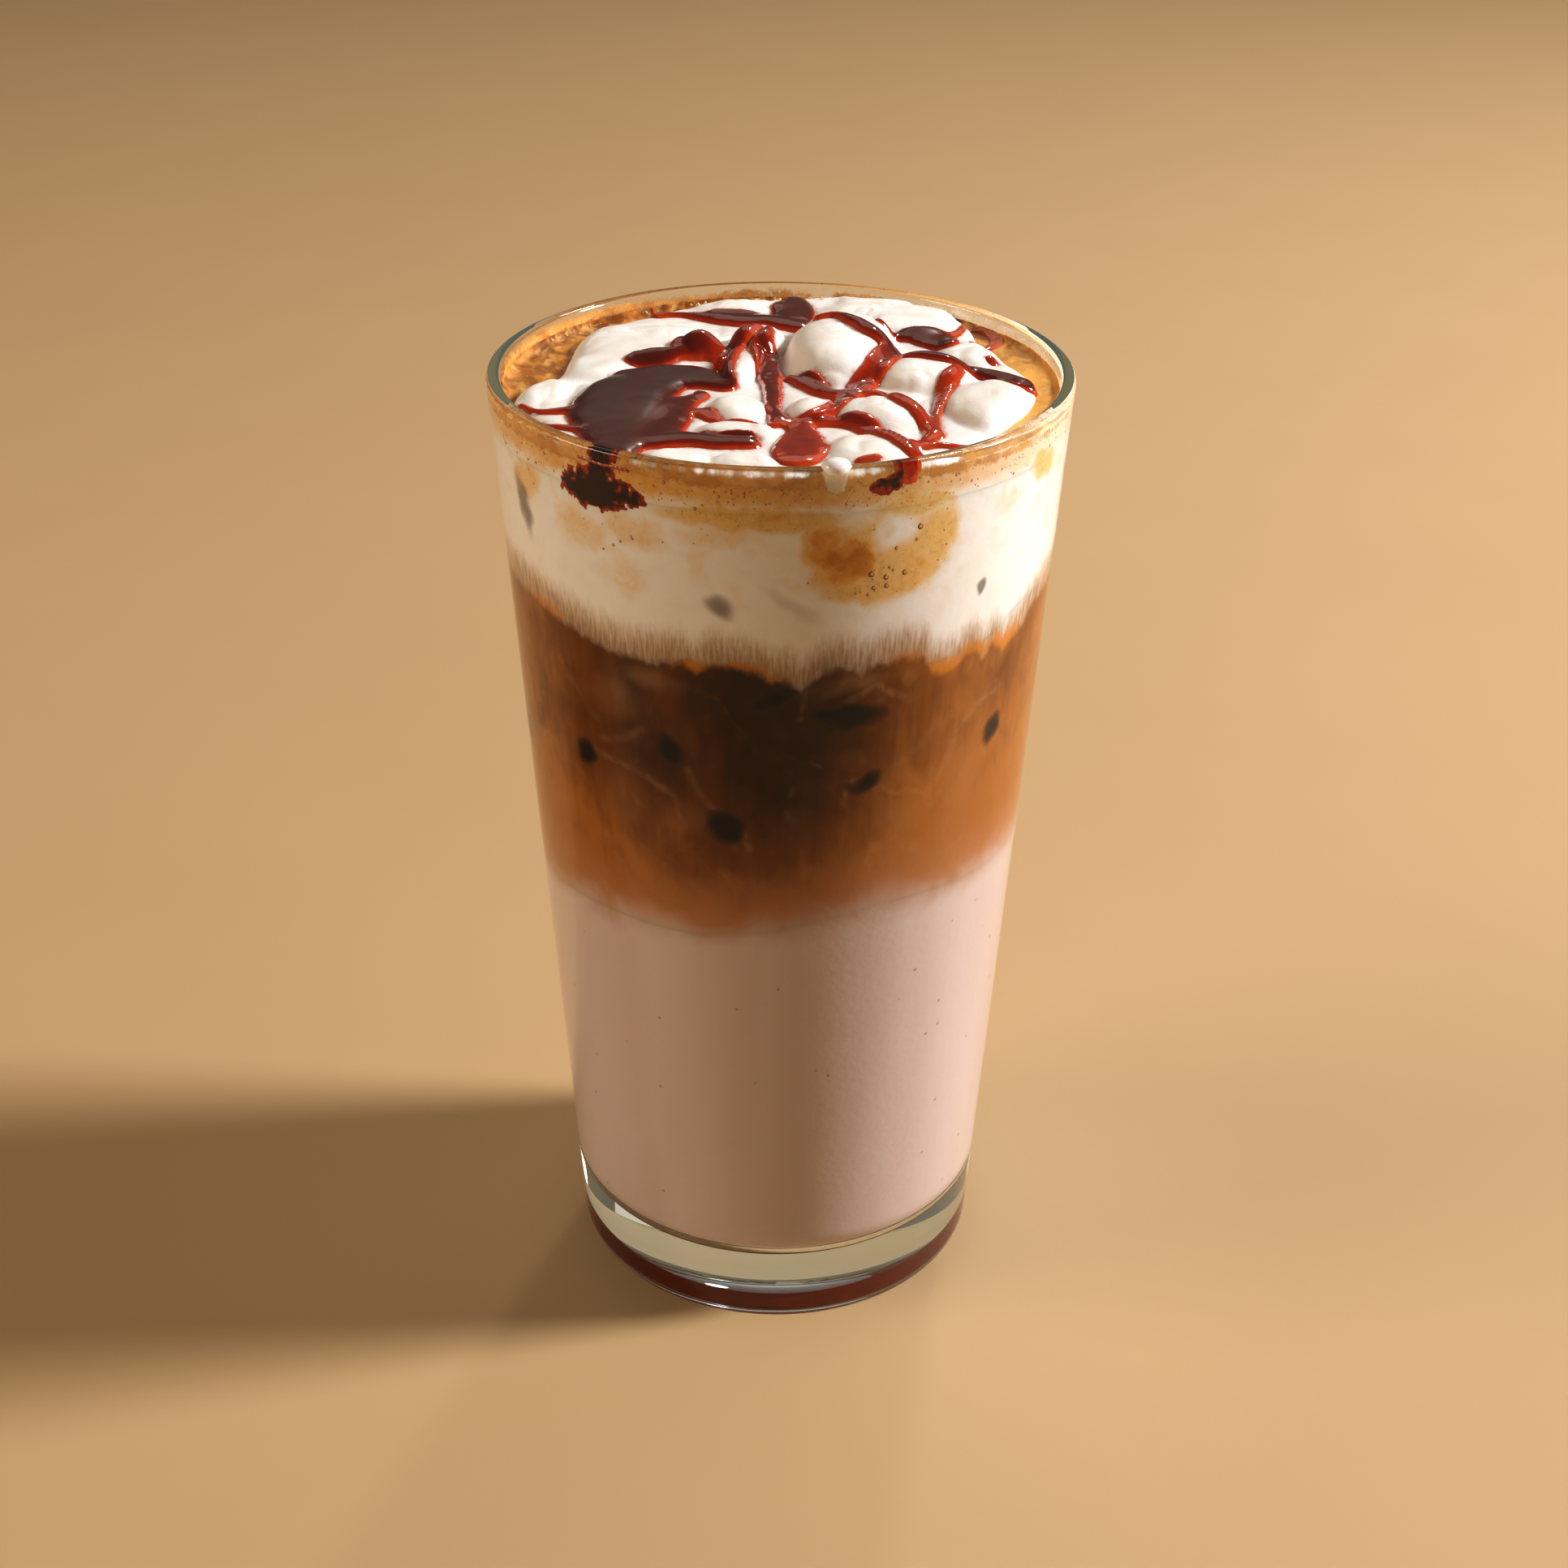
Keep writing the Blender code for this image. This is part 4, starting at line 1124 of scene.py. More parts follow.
def syrup_field(x, y):
    """How far inside the syrup a point is (negative outside), and the depth and darkness of the trails there.

    For each trail this is the most, along the line, of half width less distance. Trails join by a soft
    maximum, which fills the corner where two of them cross. Depth and darkness are means of the trails',
    weighted by e to the distance inside.
    """
    inside = np.full(x.shape, FAR_OUTSIDE)
    depth, dark, weight = np.zeros(x.shape), np.zeros(x.shape), np.full(x.shape, 1e-9)
    for deep, darkness, points in TRAILS:
        line = smooth_line(points, TRAIL_STEPS)
        near = (x > line[:, 0].min() - TRAIL_MARGIN) & (x < line[:, 0].max() + TRAIL_MARGIN)
        near &= (y > line[:, 1].min() - TRAIL_MARGIN) & (y < line[:, 1].max() + TRAIL_MARGIN)
        px, py = x[near], y[near]
        best = np.full(px.shape, FAR_OUTSIDE)
        for cx, cy, half in line:
            best = np.maximum(best, half - np.hypot(px - cx, py - cy))
        most = np.full(x.shape, FAR_OUTSIDE)
        most[near] = best
        apart = np.abs(inside - most)
        inside = np.maximum(inside, most) + JOIN * 0.25 * np.clip(1 - apart / JOIN, 0.0, 1.0) ** 2
        share = np.exp(most * NEAREST_COUNTS)
        depth += deep * share
        dark += darkness * share
        weight += share
    ruffle = 0.12 * lattice_noise(x, y, 2.1, 31) + 0.06 * lattice_noise(x, y, 0.8, 32)
    return inside + ruffle - EDGE_INSET, depth / weight, dark / weight


def syrup_depth(inside, full):
    """Round shoulders: the depth climbs like a circle's arc over the shoulder's width, then is level."""
    climb = np.clip(inside / SHOULDER, 0.0, 1.0)
    return full * np.sqrt(np.clip(climb * (2 - climb), 0.0, 1.0))


pool = syrup_field(np.array([-22.0]), np.array([-14.0]))
print("in the pool, inside by, depth and darkness:", [round(float(value[0]), 2) for value in pool])

# %% [markdown]
# ## The whipped cream
# The cream is a landscape of soft dollops. Each dollop is a dome whose height falls with the fourth power of
# the distance, which gives a round top and steep sides. Where two meet, a soft maximum leaves a rounded
# crease. Small folds are added over that, and the edge rounds down onto the crema.

# %% Dollops, and how far the cream spreads
# Each dollop: x, y, half length, half width, turn and top.
DOLLOPS = (
    (-20.0, 14.0, 12.5, 11.5, 20, 149.9),
    (-26.5, 3.0, 7.0, 7.0, 0, 149.3),
    (-33.5, -7.5, 5.0, 7.5, 0, 148.8),
    (-3.5, 12.5, 4.5, 5.5, 0, 151.3),
    (9.0, 10.0, 13.5, 7.5, 85, 152.5),
    (-7.0, 31.5, 9.0, 5.0, 0, 149.3),
    (18.0, 27.5, 15.0, 9.0, -35, 149.4),
    (28.0, 10.0, 6.0, 7.0, 0, 149.4),
    (20.5, -1.0, 8.0, 7.0, -30, 150.5),
    (30.0, -13.0, 8.0, 11.0, 10, 150.2),
    (14.0, -17.0, 7.5, 6.5, -35, 150.2),
    (12.5, -31.0, 7.5, 7.5, 20, 149.6),
    (4.5, -15.5, 4.0, 5.0, 0, 149.6),
    (-6.0, -15.0, 5.0, 5.5, 0, 149.7),
    (-5.5, 3.0, 9.0, 3.0, 80, 150.2),
    (-6.0, -24.0, 6.5, 3.5, -10, 149.6),
    (-13.5, -34.5, 6.0, 4.0, -20, 149.4),
    (-5.0, -35.5, 5.5, 4.0, 0, 149.4),
    (-22.0, -12.0, 9.0, 12.0, 30, 148.9),
)
# How far the cream spreads, every fifteen degrees from +X towards +Y.
CREAM_REACH = (
    36.3, 34.0, 34.5, 39.0, 39.7, 39.7, 39.0, 38.2, 36.2, 35.6, 34.6, 32.4,
    32.2, 38.8, 38.8, 39.7, 39.7, 39.7, 39.7, 39.7, 39.7, 37.0, 36.5, 36.8,
)
print(len(DOLLOPS), "dollops of cream")

# %% [markdown]
# The height of the cream is one formula of x and y. It could be sculpted by hand, but the syrup has to lie
# exactly on it, and a formula gives both surfaces from the same numbers.

# %% The cream's height
CREAM_WALL = 39.7
CREAM_BED = 148.3
DOME_DROP = 2.4
DOME_LIMIT = 8.0
CREASE = 0.3
BILLOW_BEND, BILLOW_SIZE, BILLOW_HEIGHT = 2.4, 6.0, 0.6
WRINKLE_SIZE, WRINKLE_HEIGHT = 2.7, 0.14


def cream_reach(x, y):
    """How far the cream spreads from the axis in the direction of a point."""
    return np.minimum(smooth_ring(CREAM_REACH, np.degrees(np.arctan2(y, x))), CREAM_WALL)


def cream_domes(x, y):
    """The soft maximum of the domes and the bed: the highest, plus the logarithm of the sum of the others."""
    heights = [np.full(np.shape(x), CREAM_BED)]
    for cx, cy, half_length, half_width, turn, top in DOLLOPS:
        c, s = math.cos(math.radians(turn)), math.sin(math.radians(turn))
        along = ((x - cx) * c + (y - cy) * s) / half_length
        across = ((y - cy) * c - (x - cx) * s) / half_width
        heights.append(top - DOME_DROP * np.minimum((along**2 + across**2) ** 2, DOME_LIMIT))
    heights = np.array(heights)
    highest = heights.max(axis=0)
    return highest + CREASE * np.log(np.exp((heights - highest) / CREASE).sum(axis=0))


def cream_folds(x, y):
    """Soft billows with sharp valleys: the size of a noise, taken where a second noise has bent the place."""
    bent_x = x + BILLOW_BEND * lattice_noise(x, y, BILLOW_SIZE, 21)
    bent_y = y + BILLOW_BEND * lattice_noise(x, y, BILLOW_SIZE, 22)
    large = np.sqrt(lattice_noise(bent_x, bent_y, BILLOW_SIZE, 23) ** 2 + 0.015)
    small = np.sqrt(lattice_noise(bent_x, bent_y, WRINKLE_SIZE, 24) ** 2 + 0.02)
    return BILLOW_HEIGHT * (large - 0.3) + WRINKLE_HEIGHT * (small - 0.3)


# %% [markdown]
# The edge of the cream rounds down onto the crema, but where the cream leans on the glass it stays full. Under
# the syrup the cream is smoother, since syrup fills the small folds.

# %% The cream's edge
CREAM_FOOT = 147.2
EDGE_ROUND = 2.6
# An edge that reaches this far leans on the glass, and is rounded less and less.
EDGE_LEANS = 38.8
FOLD_FADE = (0.4, -2.4)
FOLDS_UNDER_SYRUP = 0.12


def cream_top(x, y, inside):
    """Height of what the syrup lies on: the cream, its edge rounded down, and the crema outside it.

    The folds fade out towards the syrup, which lies in the smooth hollows between them.
    """
    reach = np.hypot(x, y)
    edge = cream_reach(x, y)
    inward = np.clip((edge - reach) / EDGE_ROUND, 0.0, 1.0)
    rounding = np.sqrt(inward * (2 - inward))
    rounding = rounding + (1 - rounding) * smooth_step(edge, EDGE_LEANS, CREAM_WALL)
    clear = 1 - smooth_step(inside, FOLD_FADE[1], FOLD_FADE[0])
    folds = cream_folds(x, y) * (FOLDS_UNDER_SYRUP + (1 - FOLDS_UNDER_SYRUP) * clear)
    height = CREAM_FOOT + (cream_domes(x, y) + folds - CREAM_FOOT) * rounding
    return np.where(reach > edge, np.maximum(crema_height(x, y), CREAM_FOOT), height)


tall = cream_top(np.array([9.0]), np.array([10.0]), np.array([FAR_OUTSIDE]))
print("the tallest dollop stands at", tall.round(1), "mm, and the rim at", GLASS_HEIGHT)

# %% [markdown]
# Cream is white because light goes in and comes out again, which also softens its shadows. Syrup bleeds into it
# and leaves a rosy stain along each strand.

# %% Cream material


def cream_material():
    """Smooth white cream, tinted rosy where syrup has bled into it, with a faint grain of air."""
    made, tree, shader = new_material(
        "whipped_cream",
        Roughness=0.36,
        IOR=1.38,
        Subsurface_Weight=0.5,
        Subsurface_Radius=(1.0, 0.8, 0.6),
        Subsurface_Scale=0.0025,
    )
    where = in_millimetres(tree)
    cloud = noise(tree, where, 6.0, 3.0)
    colour = mixed(tree, between(tree, cloud, 0.35, 0.65), paint(249, 245, 240), paint(245, 239, 232))
    ragged = noise(tree, where, 1.6, 4.0, 0.6)
    stain = sums(tree, "MULTIPLY", measured(tree, "stain"), between(tree, ragged, 0.25, 0.75, 0.3, 1.3))
    colour = mixed(tree, between(tree, stain, 0.1, 1.0, 0.0, 0.85), colour, paint(196, 108, 92))
    tree.links.new(colour, shader.inputs["Base Color"])
    grain = noise(tree, where, 0.5, 4.0)
    tree.links.new(bump(tree, grain, 0.00004), shader.inputs["Normal"])
    return made


# %% [markdown]
# The cream needs an even mesh over a round field. A fan round the middle would crowd its points there, so a
# square grid is squeezed into a disc.

# %% Cream piece
CREAM_CELLS = 288
JUST_INSIDE = 0.9999
STAIN_SPREAD = 0.6
CREAM_SOLE = CREAM_FOOT - 0.3


def disc_from_square(a, b):
    """A square grid squeezed into a disc. Each square ring becomes a circle, so there is no pole.

    The ring's radius is the larger of the two sizes. Its angle grows evenly along each side of the square:
    an eighth of a turn for each half side, starting from the middle of the side.
    """
    size = np.maximum(np.abs(a), np.abs(b))
    wide = np.abs(a) >= np.abs(b)
    along_a = np.pi / 4 * b / np.where(wide & (a != 0), a, 1.0)
    along_b = np.pi / 2 - np.pi / 4 * a / np.where(wide, 1.0, b)
    turn = np.where(wide, along_a, along_b)
    behind = np.where(wide, a < 0, b < 0)
    return size, turn + np.where(behind, np.pi, 0.0)


def make_cream():
    """The disc spread to the cream's outline and lifted to its surface, closed by a side and a flat foot."""
    line = np.linspace(-1, 1, CREAM_CELLS + 1)
    a, b = np.meshgrid(line, line)
    share, turn = disc_from_square(a, b)
    edge = cream_reach(np.cos(turn), np.sin(turn))
    x, y = share * edge * np.cos(turn), share * edge * np.sin(turn)
    inside, _, dark = syrup_field(x, y)
    top = np.stack([x, y, cream_top(x * JUST_INSIDE, y * JUST_INSIDE, inside)], axis=-1)
    side = CREAM_CELLS + 1
    number = np.arange(side * side).reshape(side, side)
    rim = np.concatenate([number[0, :-1], number[:-1, -1], number[-1, :0:-1], number[:0:-1, 0]])
    points = top.reshape(-1, 3)
    foot = points[rim].copy()
    foot[:, 2] = CREAM_SOLE
    low = np.arange(len(points), len(points) + len(rim))
    skirt = np.stack([rim, np.roll(rim, -1), np.roll(low, -1), low], axis=-1)
    middle = len(points) + len(rim)
    stain = np.exp(-np.clip(-inside, 0.0, -FAR_OUTSIDE) / STAIN_SPREAD) * np.clip(0.4 + 0.35 * dark, 0.0, 1.0)
    stain = np.append(stain.reshape(-1), np.zeros(len(rim) + 1))
    points = np.vstack([points, foot, [0, 0, CREAM_SOLE]])
    faces = [grid_faces(side, side, False), skirt[:, ::-1], pole_faces(low[::-1], middle)]
    return mesh_piece("whipped_cream", points, faces, cream_material(), {"stain": stain})


cream = make_cream()
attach(cream, "root")
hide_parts("cream_and_syrup")

# %% [markdown]
# ## The syrup
# The syrup is a skin over the cream: the cream's height plus the syrup's depth. Just outside its outline it
# dips under the cream, so the outline that shows is where two smooth surfaces cross, and has no steps. Thin
# syrup lets the light through and looks orange-red, and deep syrup is nearly black.

# %% Syrup material


def syrup_material():
    """Glossy syrup whose colour runs from orange-red at its thin edge to nearly black where it is deep."""
    made, tree, shader = new_material(
        "syrup",
        IOR=1.48,
        Coat_Roughness=0.03,
        Subsurface_Weight=0.12,
        Subsurface_Radius=(1.0, 0.25, 0.1),
        Subsurface_Scale=0.0015,
    )
    where = in_millimetres(tree)
    deep = sums(tree, "ADD", measured(tree, "depth"), around(tree, noise(tree, where, 2.4, 3.0), 0.3))
    colour = mixed(tree, between(tree, deep, 0.0, 0.6), paint(190, 78, 26), paint(186, 56, 10))
    colour = mixed(tree, between(tree, deep, 0.45, 0.9), colour, paint(126, 28, 6))
    colour = mixed(tree, between(tree, deep, 0.8, 1.4), colour, paint(92, 28, 16))
    colour = mixed(tree, between(tree, deep, 1.5, 2.4), colour, paint(78, 42, 34))
    tree.links.new(colour, shader.inputs["Base Color"])
    tree.links.new(between(tree, deep, 1.1, 1.9, 0.1, 0.34), shader.inputs["Roughness"])
    tree.links.new(between(tree, deep, 1.0, 1.8, 0.7, 0.0), shader.inputs["Coat Weight"])
    tree.links.new(bump(tree, noise(tree, where, 3.0, 2.0), 0.00008), shader.inputs["Normal"])
    return made


# %% [markdown]
# A skin is cut from a square grid: the cells inside the outline are kept, doubled for the underside, and a
# wall joins the two all along the edge, so that the piece is closed like a real, thin layer of syrup.

# %% The syrup as a piece
SYRUP_CELL = 0.235
SYRUP_SPAN = 40.2
SYRUP_EDGE = 39.9
SYRUP_SOLE = 0.25
DIP = 0.45
# A bead of syrup stands on the trail over the second dollop: x, y, radius and height.
BEAD = (-11.4, 9.4, 3.2, 1.5)


def masked_skin(name, upper, lower, keep, material, values):
    """A closed skin over the kept cells of a grid: a top, a bottom, and a wall along every outer edge."""
    rows, columns = upper.shape[:2]
    number = np.arange(rows * columns).reshape(rows, columns)
    corners = (number[:-1, :-1], number[:-1, 1:], number[1:, 1:], number[1:, :-1])
    over = np.stack([corner[keep] for corner in corners], axis=-1)
    edges = np.concatenate([over[:, [0, 1]], over[:, [1, 2]], over[:, [2, 3]], over[:, [3, 0]]])
    _, first, times = np.unique(np.sort(edges, axis=1), axis=0, return_index=True, return_counts=True)
    outer = edges[first[times == 1]]
    under = rows * columns
    walls = np.stack([outer[:, 1], outer[:, 0], outer[:, 0] + under, outer[:, 1] + under], axis=-1)
    faces = np.vstack([over, over[:, ::-1] + under, walls])
    points = np.vstack([upper.reshape(-1, 3), lower.reshape(-1, 3)])
    used, faces = np.unique(faces, return_inverse=True)
    values = {key: np.tile(value.reshape(-1), 2)[used] for key, value in values.items()}
    return mesh_piece(name, points[used], [faces.reshape(-1, 4)], material, values)


def kept_cells(inside, least):
    """The cells of a grid with at least one corner that is inside far enough."""
    keep = inside > least
    return keep[:-1, :-1] | keep[:-1, 1:] | keep[1:, 1:] | keep[1:, :-1]


def make_syrup():
    """The skin's top is the ground plus the depth inside the outline, and the ground less the dip outside."""
    line = np.arange(-SYRUP_SPAN, SYRUP_SPAN, SYRUP_CELL)
    x, y = np.meshgrid(line, line)
    inside, full, dark = syrup_field(x, y)
    inside = np.minimum(inside, SYRUP_EDGE - np.hypot(x, y))
    ground = cream_top(x, y, inside)
    depth = syrup_depth(inside, full)
    bead_x, bead_y, bead_radius, bead_height = BEAD
    away = ((x - bead_x) ** 2 + (y - bead_y) ** 2) / bead_radius**2
    bead = bead_height * np.clip(1 - away, 0.0, 1.0) * smooth_step(inside, 0.0, 1.0)
    top = ground + np.where(inside > 0, depth + bead, np.maximum(inside, -DIP))
    bottom = ground - DIP - SYRUP_SOLE
    upper, lower = np.stack([x, y, top], axis=-1), np.stack([x, y, bottom], axis=-1)
    keep = kept_cells(inside, -DIP * 0.8)
    return masked_skin("syrup_trails", upper, lower, keep, syrup_material(), {"depth": depth * dark})


syrup = make_syrup()
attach(syrup, "root")
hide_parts("cream_and_syrup")

# %% [markdown]
# ## Syrup, milk and crema on the wall
# Some syrup ran down between the cream and the glass and dried there as a dark blot with a red rim. Smaller
# drops hang beside it, and a drop of milk sits on the rim and drips inside. Dried crema films the glass up to
# the rim. Each is a thin skin bent round the wall. Its outside lies flat against the glass and its inside
# bulges towards the drink.

# %% Where the patches run
# Each trail of a patch: angle, height and half width of points along it.
BLOT = (
    ((-43.4, 143.4, 1.9), (-40.0, 143.6, 2.9), (-36.0, 143.6, 3.1), (-32.0, 143.6, 2.2), (-27.6, 143.6, 1.4)),
    ((-37.0, 144.4, 2.6), (-35.6, 146.6, 2.3), (-34.8, 149.2, 2.4)),
    ((-30.0, 144.8, 1.2), (-26.0, 143.0, 0.7)),
)
SMEAR = (((17.8, 146.6, 0.8), (19.8, 146.9, 1.3), (21.4, 147.2, 1.4), (22.6, 148.0, 0.9)),)
RED_DROP = (((24.6, 149.2, 1.4), (24.6, 148.4, 1.6), (24.5, 147.7, 1.35)),)
MILK_DRIP = (((10.3, 149.6, 1.7), (10.3, 148.7, 1.8), (10.35, 147.8, 1.6)),)
CREMA_FILM = (
    ((-84.0, 147.4, 0.9), (-66.0, 147.8, 1.2), (-48.0, 147.7, 1.3), (-30.0, 147.9, 1.2), (-12.0, 147.8, 1.3),
     (6.0, 147.8, 1.3), (24.0, 147.7, 1.1), (42.0, 147.4, 1.0), (60.0, 147.3, 0.8), (76.0, 147.2, 0.6)),
)
CREMA_CLIMB = (
    ((-186.0, 148.3, 0.7), (-172.0, 148.4, 1.0), (-158.0, 148.2, 0.8), (-144.0, 148.4, 1.1),
     (-130.0, 148.5, 1.2), (-116.0, 148.6, 1.3), (-102.0, 148.5, 1.2), (-88.0, 148.3, 0.9),
     (-76.0, 148.0, 0.6)),
    ((148.0, 148.2, 0.6), (158.0, 148.4, 0.9), (168.0, 148.4, 0.8)),
)
FILM = (
    ((100.0, 148.0, 1.1), (112.0, 148.3, 1.3), (124.0, 148.4, 1.2), (138.0, 148.2, 1.3), (150.0, 148.0, 0.9)),
)


print("the blot has", len(BLOT), "trails")

# %% [markdown]
# A patch is a field of distances once more, this time unrolled on the wall. Two noises ruffle its edge, as a
# drying liquid draws back unevenly. A flat picture on the glass would have no thickness to catch the light.

# %% A patch as a skin bent round the wall
PATCH_CELL = 0.14
OVER_DRINK = 0.06
PATCH_EDGE = 0.5
PATCH_THICKNESS = 0.2
BELOW_RIM = 0.35


def wall_place(degrees, height, lift):
    """The point at that angle and height, lifted outwards from the inside of the glass."""
    radius = inner_radius(height) + lift
    turn = np.radians(degrees)
    return np.stack([radius * np.sin(turn), -radius * np.cos(turn), height + 0 * turn], axis=-1)


def wall_patch(
    name, trails, deepest, material, ragged=0.25, hollow=0.0, over=OVER_DRINK
):
    """A skin on the wall where the trails pass: most of half width less distance, ruffled by noise.

    The outside is flat, a little further into the glass than the drink reaches. The inside bulges towards
    the axis like the arc of a circle. Hollow takes away lumps of noise, which leaves holes.
    """
    every = np.array([point for trail in trails for point in trail])
    margin = every[:, 2].max() + 1.0
    middle = every[:, 0].mean()
    scale = np.radians(1.0) * RIM_RADIUS
    reach = np.abs(every[:, 0] - middle).max() * scale + margin
    across = np.arange(-reach, reach, PATCH_CELL)
    up = np.arange(every[:, 1].min() - margin, every[:, 1].max() + margin, PATCH_CELL)
    s, z = np.meshgrid(across, up)
    inside = np.full(s.shape, FAR_OUTSIDE)
    for trail in trails:
        for angle, height, half in smooth_line(trail, 16 * len(trail)):
            inside = np.maximum(inside, half - np.hypot(s - (angle - middle) * scale, z - height))
    inside = inside + ragged * (lattice_noise(s, z, 1.1, 51) + 0.6 * lattice_noise(s, z, 0.45, 52))
    inside = inside - hollow * smooth_step(lattice_noise(s, z, 0.8, 53), 0.25, 0.6)
    inside = np.minimum(inside, GLASS_HEIGHT - BELOW_RIM - z)
    degrees = middle + s / scale
    round_off = np.clip(inside / PATCH_EDGE, 0.0, 1.0)
    outer = wall_place(degrees, z, INTO_WALL + over * round_off)
    inner = wall_place(degrees, z, INTO_WALL - PATCH_THICKNESS - deepest * np.sqrt(round_off))
    made = masked_skin(name, outer, inner, kept_cells(inside, 0.0), material, {"inside": inside})
    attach(made, "root")
    return made


# %% [markdown]
# Dried syrup is dull and nearly black where it is thick, and red at its edge. A film of milk thins to nothing.
# Its gaps are cut by the alpha, which is enough for a film with no thickness to show.

# %% Materials of syrup and milk on the wall


def dried_syrup_material(name, thin, thick, deep_at):
    """Glossy syrup, lighter at the rim of the patch than in its middle."""
    made, tree, shader = new_material(name, Roughness=0.25, IOR=1.46, Specular_IOR_Level=0.15)
    where = in_millimetres(tree)
    mottle = noise(tree, where, 0.8, 6.0, 0.5, 0.65)
    inside = sums(tree, "ADD", measured(tree, "inside"), around(tree, mottle, 3.0))
    tree.links.new(mixed(tree, between(tree, inside, 0.0, deep_at), thin, thick), shader.inputs["Base Color"])
    tree.links.new(bump(tree, mottle, 0.00006), shader.inputs["Normal"])
    return made


def film_material():
    """A thin film of milk left on the glass: white, thinning to nothing at its edge and in its gaps."""
    made, tree, shader = new_material("milk_film", Base_Color=paint(248, 238, 224), Roughness=0.3, IOR=1.36)
    where = in_millimetres(tree)
    gaps = noise(tree, stretched(tree, where, 1.0, 1.0, 0.6), 2.4, 5.0, 0.8)
    edge = between(tree, measured(tree, "inside"), 0.0, 1.0)
    thick = sums(tree, "MULTIPLY", edge, between(tree, gaps, 0.3, 0.7, 0.12, 0.62))
    tree.links.new(thick, shader.inputs["Alpha"])
    return made


def milk_material():
    """A fresh drop of milk."""
    made, tree, shader = new_material(
        "milk_drop", Roughness=0.12, IOR=1.36, Coat_Weight=0.5, Subsurface_Weight=0.5, Subsurface_Scale=0.001
    )
    where = in_millimetres(tree)
    thin = noise(tree, where, 1.2, 3.0)
    height = place(tree, "SeparateXYZ", {"Vector": where}).outputs["Z"]
    low = between(tree, sums(tree, "ADD", height, around(tree, thin, 1.2)), 149.2, 147.4)
    tree.links.new(mixed(tree, low, paint(255, 253, 250), paint(232, 214, 194)), shader.inputs["Base Color"])
    return made


# %% [markdown]
# The film of crema is grained, and thins along its upper edge. With the last material made, all the patches are
# placed, from the thickest to the thinnest.

# %% The film of crema, and all the patches


def crema_film_material():
    """Dried coffee foam on the glass: tan, finely grained, thinning at its upper edge."""
    made, tree, shader = new_material("crema_film", Roughness=0.4, IOR=1.36)
    where = in_millimetres(tree)
    grain = noise(tree, where, 0.7, 4.0)
    cloud = noise(tree, where, 4.0, 4.0, 0.6)
    tan = mixed(tree, between(tree, cloud, 0.35, 0.65), paint(240, 192, 118), paint(214, 154, 78))
    tan = mixed(tree, between(tree, grain, 0.5, 0.8, 0.0, 0.2), tan, paint(170, 108, 46))
    tree.links.new(tan, shader.inputs["Base Color"])
    edge = sums(tree, "ADD", measured(tree, "inside"), around(tree, grain, 0.5))
    tree.links.new(between(tree, edge, 0.0, 1.0, 0.0, 0.9), shader.inputs["Alpha"])
    return made


blot_paint = dried_syrup_material("dried_syrup", paint(170, 54, 16), paint(48, 15, 8), 1.0)
red_paint = dried_syrup_material("red_syrup", paint(226, 96, 30), paint(176, 34, 8), 1.0)
milk_paint = milk_material()
wall_patch("syrup_blot", BLOT, 0.5, blot_paint, ragged=0.5, hollow=0.9)
wall_patch("syrup_smear", SMEAR, 0.3, blot_paint, ragged=0.4, hollow=0.3)
wall_patch("red_drop", RED_DROP, 0.6, red_paint, ragged=0.12)
wall_patch("milk_drip", MILK_DRIP, 0.6, milk_paint, ragged=0.12)
crema_paint = crema_film_material()
wall_patch("crema_film", CREMA_FILM, 0.05, crema_paint, ragged=0.35, over=0.02)
wall_patch("crema_climb", CREMA_CLIMB, 0.15, crema_paint, ragged=0.3, over=0.02)
wall_patch("milk_film", FILM, 0.05, film_material(), ragged=0.6)

# %% [markdown]
# ## Bubbles
# Coffee foam is full of bubbles. Against the glass each shows as a dark ring round a pale middle. The larger
# ones have places of their own. The rest are scattered by a seeded draw over the crema band and the stirred
# places, where foam and coffee meet.

# %% Where the bubbles are
# Bubbles with places of their own: angle, height, half width and half height.
NAMED_BUBBLES = (
    (27.6, 140.0, 0.46, 0.46), (18.0, 134.0, 0.5, 0.48), (21.0, 133.3, 0.44, 0.46), (24.9, 133.6, 0.46, 0.42),
    (21.2, 132.0, 0.4, 0.4), (18.6, 131.9, 0.42, 0.36), (22.8, 137.4, 0.28, 0.28), (17.5, 131.0, 0.26, 0.26),
    (21.6, 134.7, 0.24, 0.24), (22.4, 134.2, 0.22, 0.22), (27.0, 138.2, 0.26, 0.26), (15.0, 131.4, 0.24, 0.22),
    (-8.8, 146.3, 0.16, 0.4), (-6.4, 146.0, 0.14, 0.5), (-33.5, 136.0, 0.22, 0.22), (-31.8, 136.8, 0.2, 0.2),
    (-36.0, 135.0, 0.2, 0.2), (-29.0, 137.6, 0.22, 0.2),
)
SCATTERED_BUBBLES = 1100
# The heights of the crema band and of the foam below it, where bubbles are drawn.
BUBBLE_BAND = (143.8, 147.2)
BUBBLE_FIELD = (129.0, 144.0)


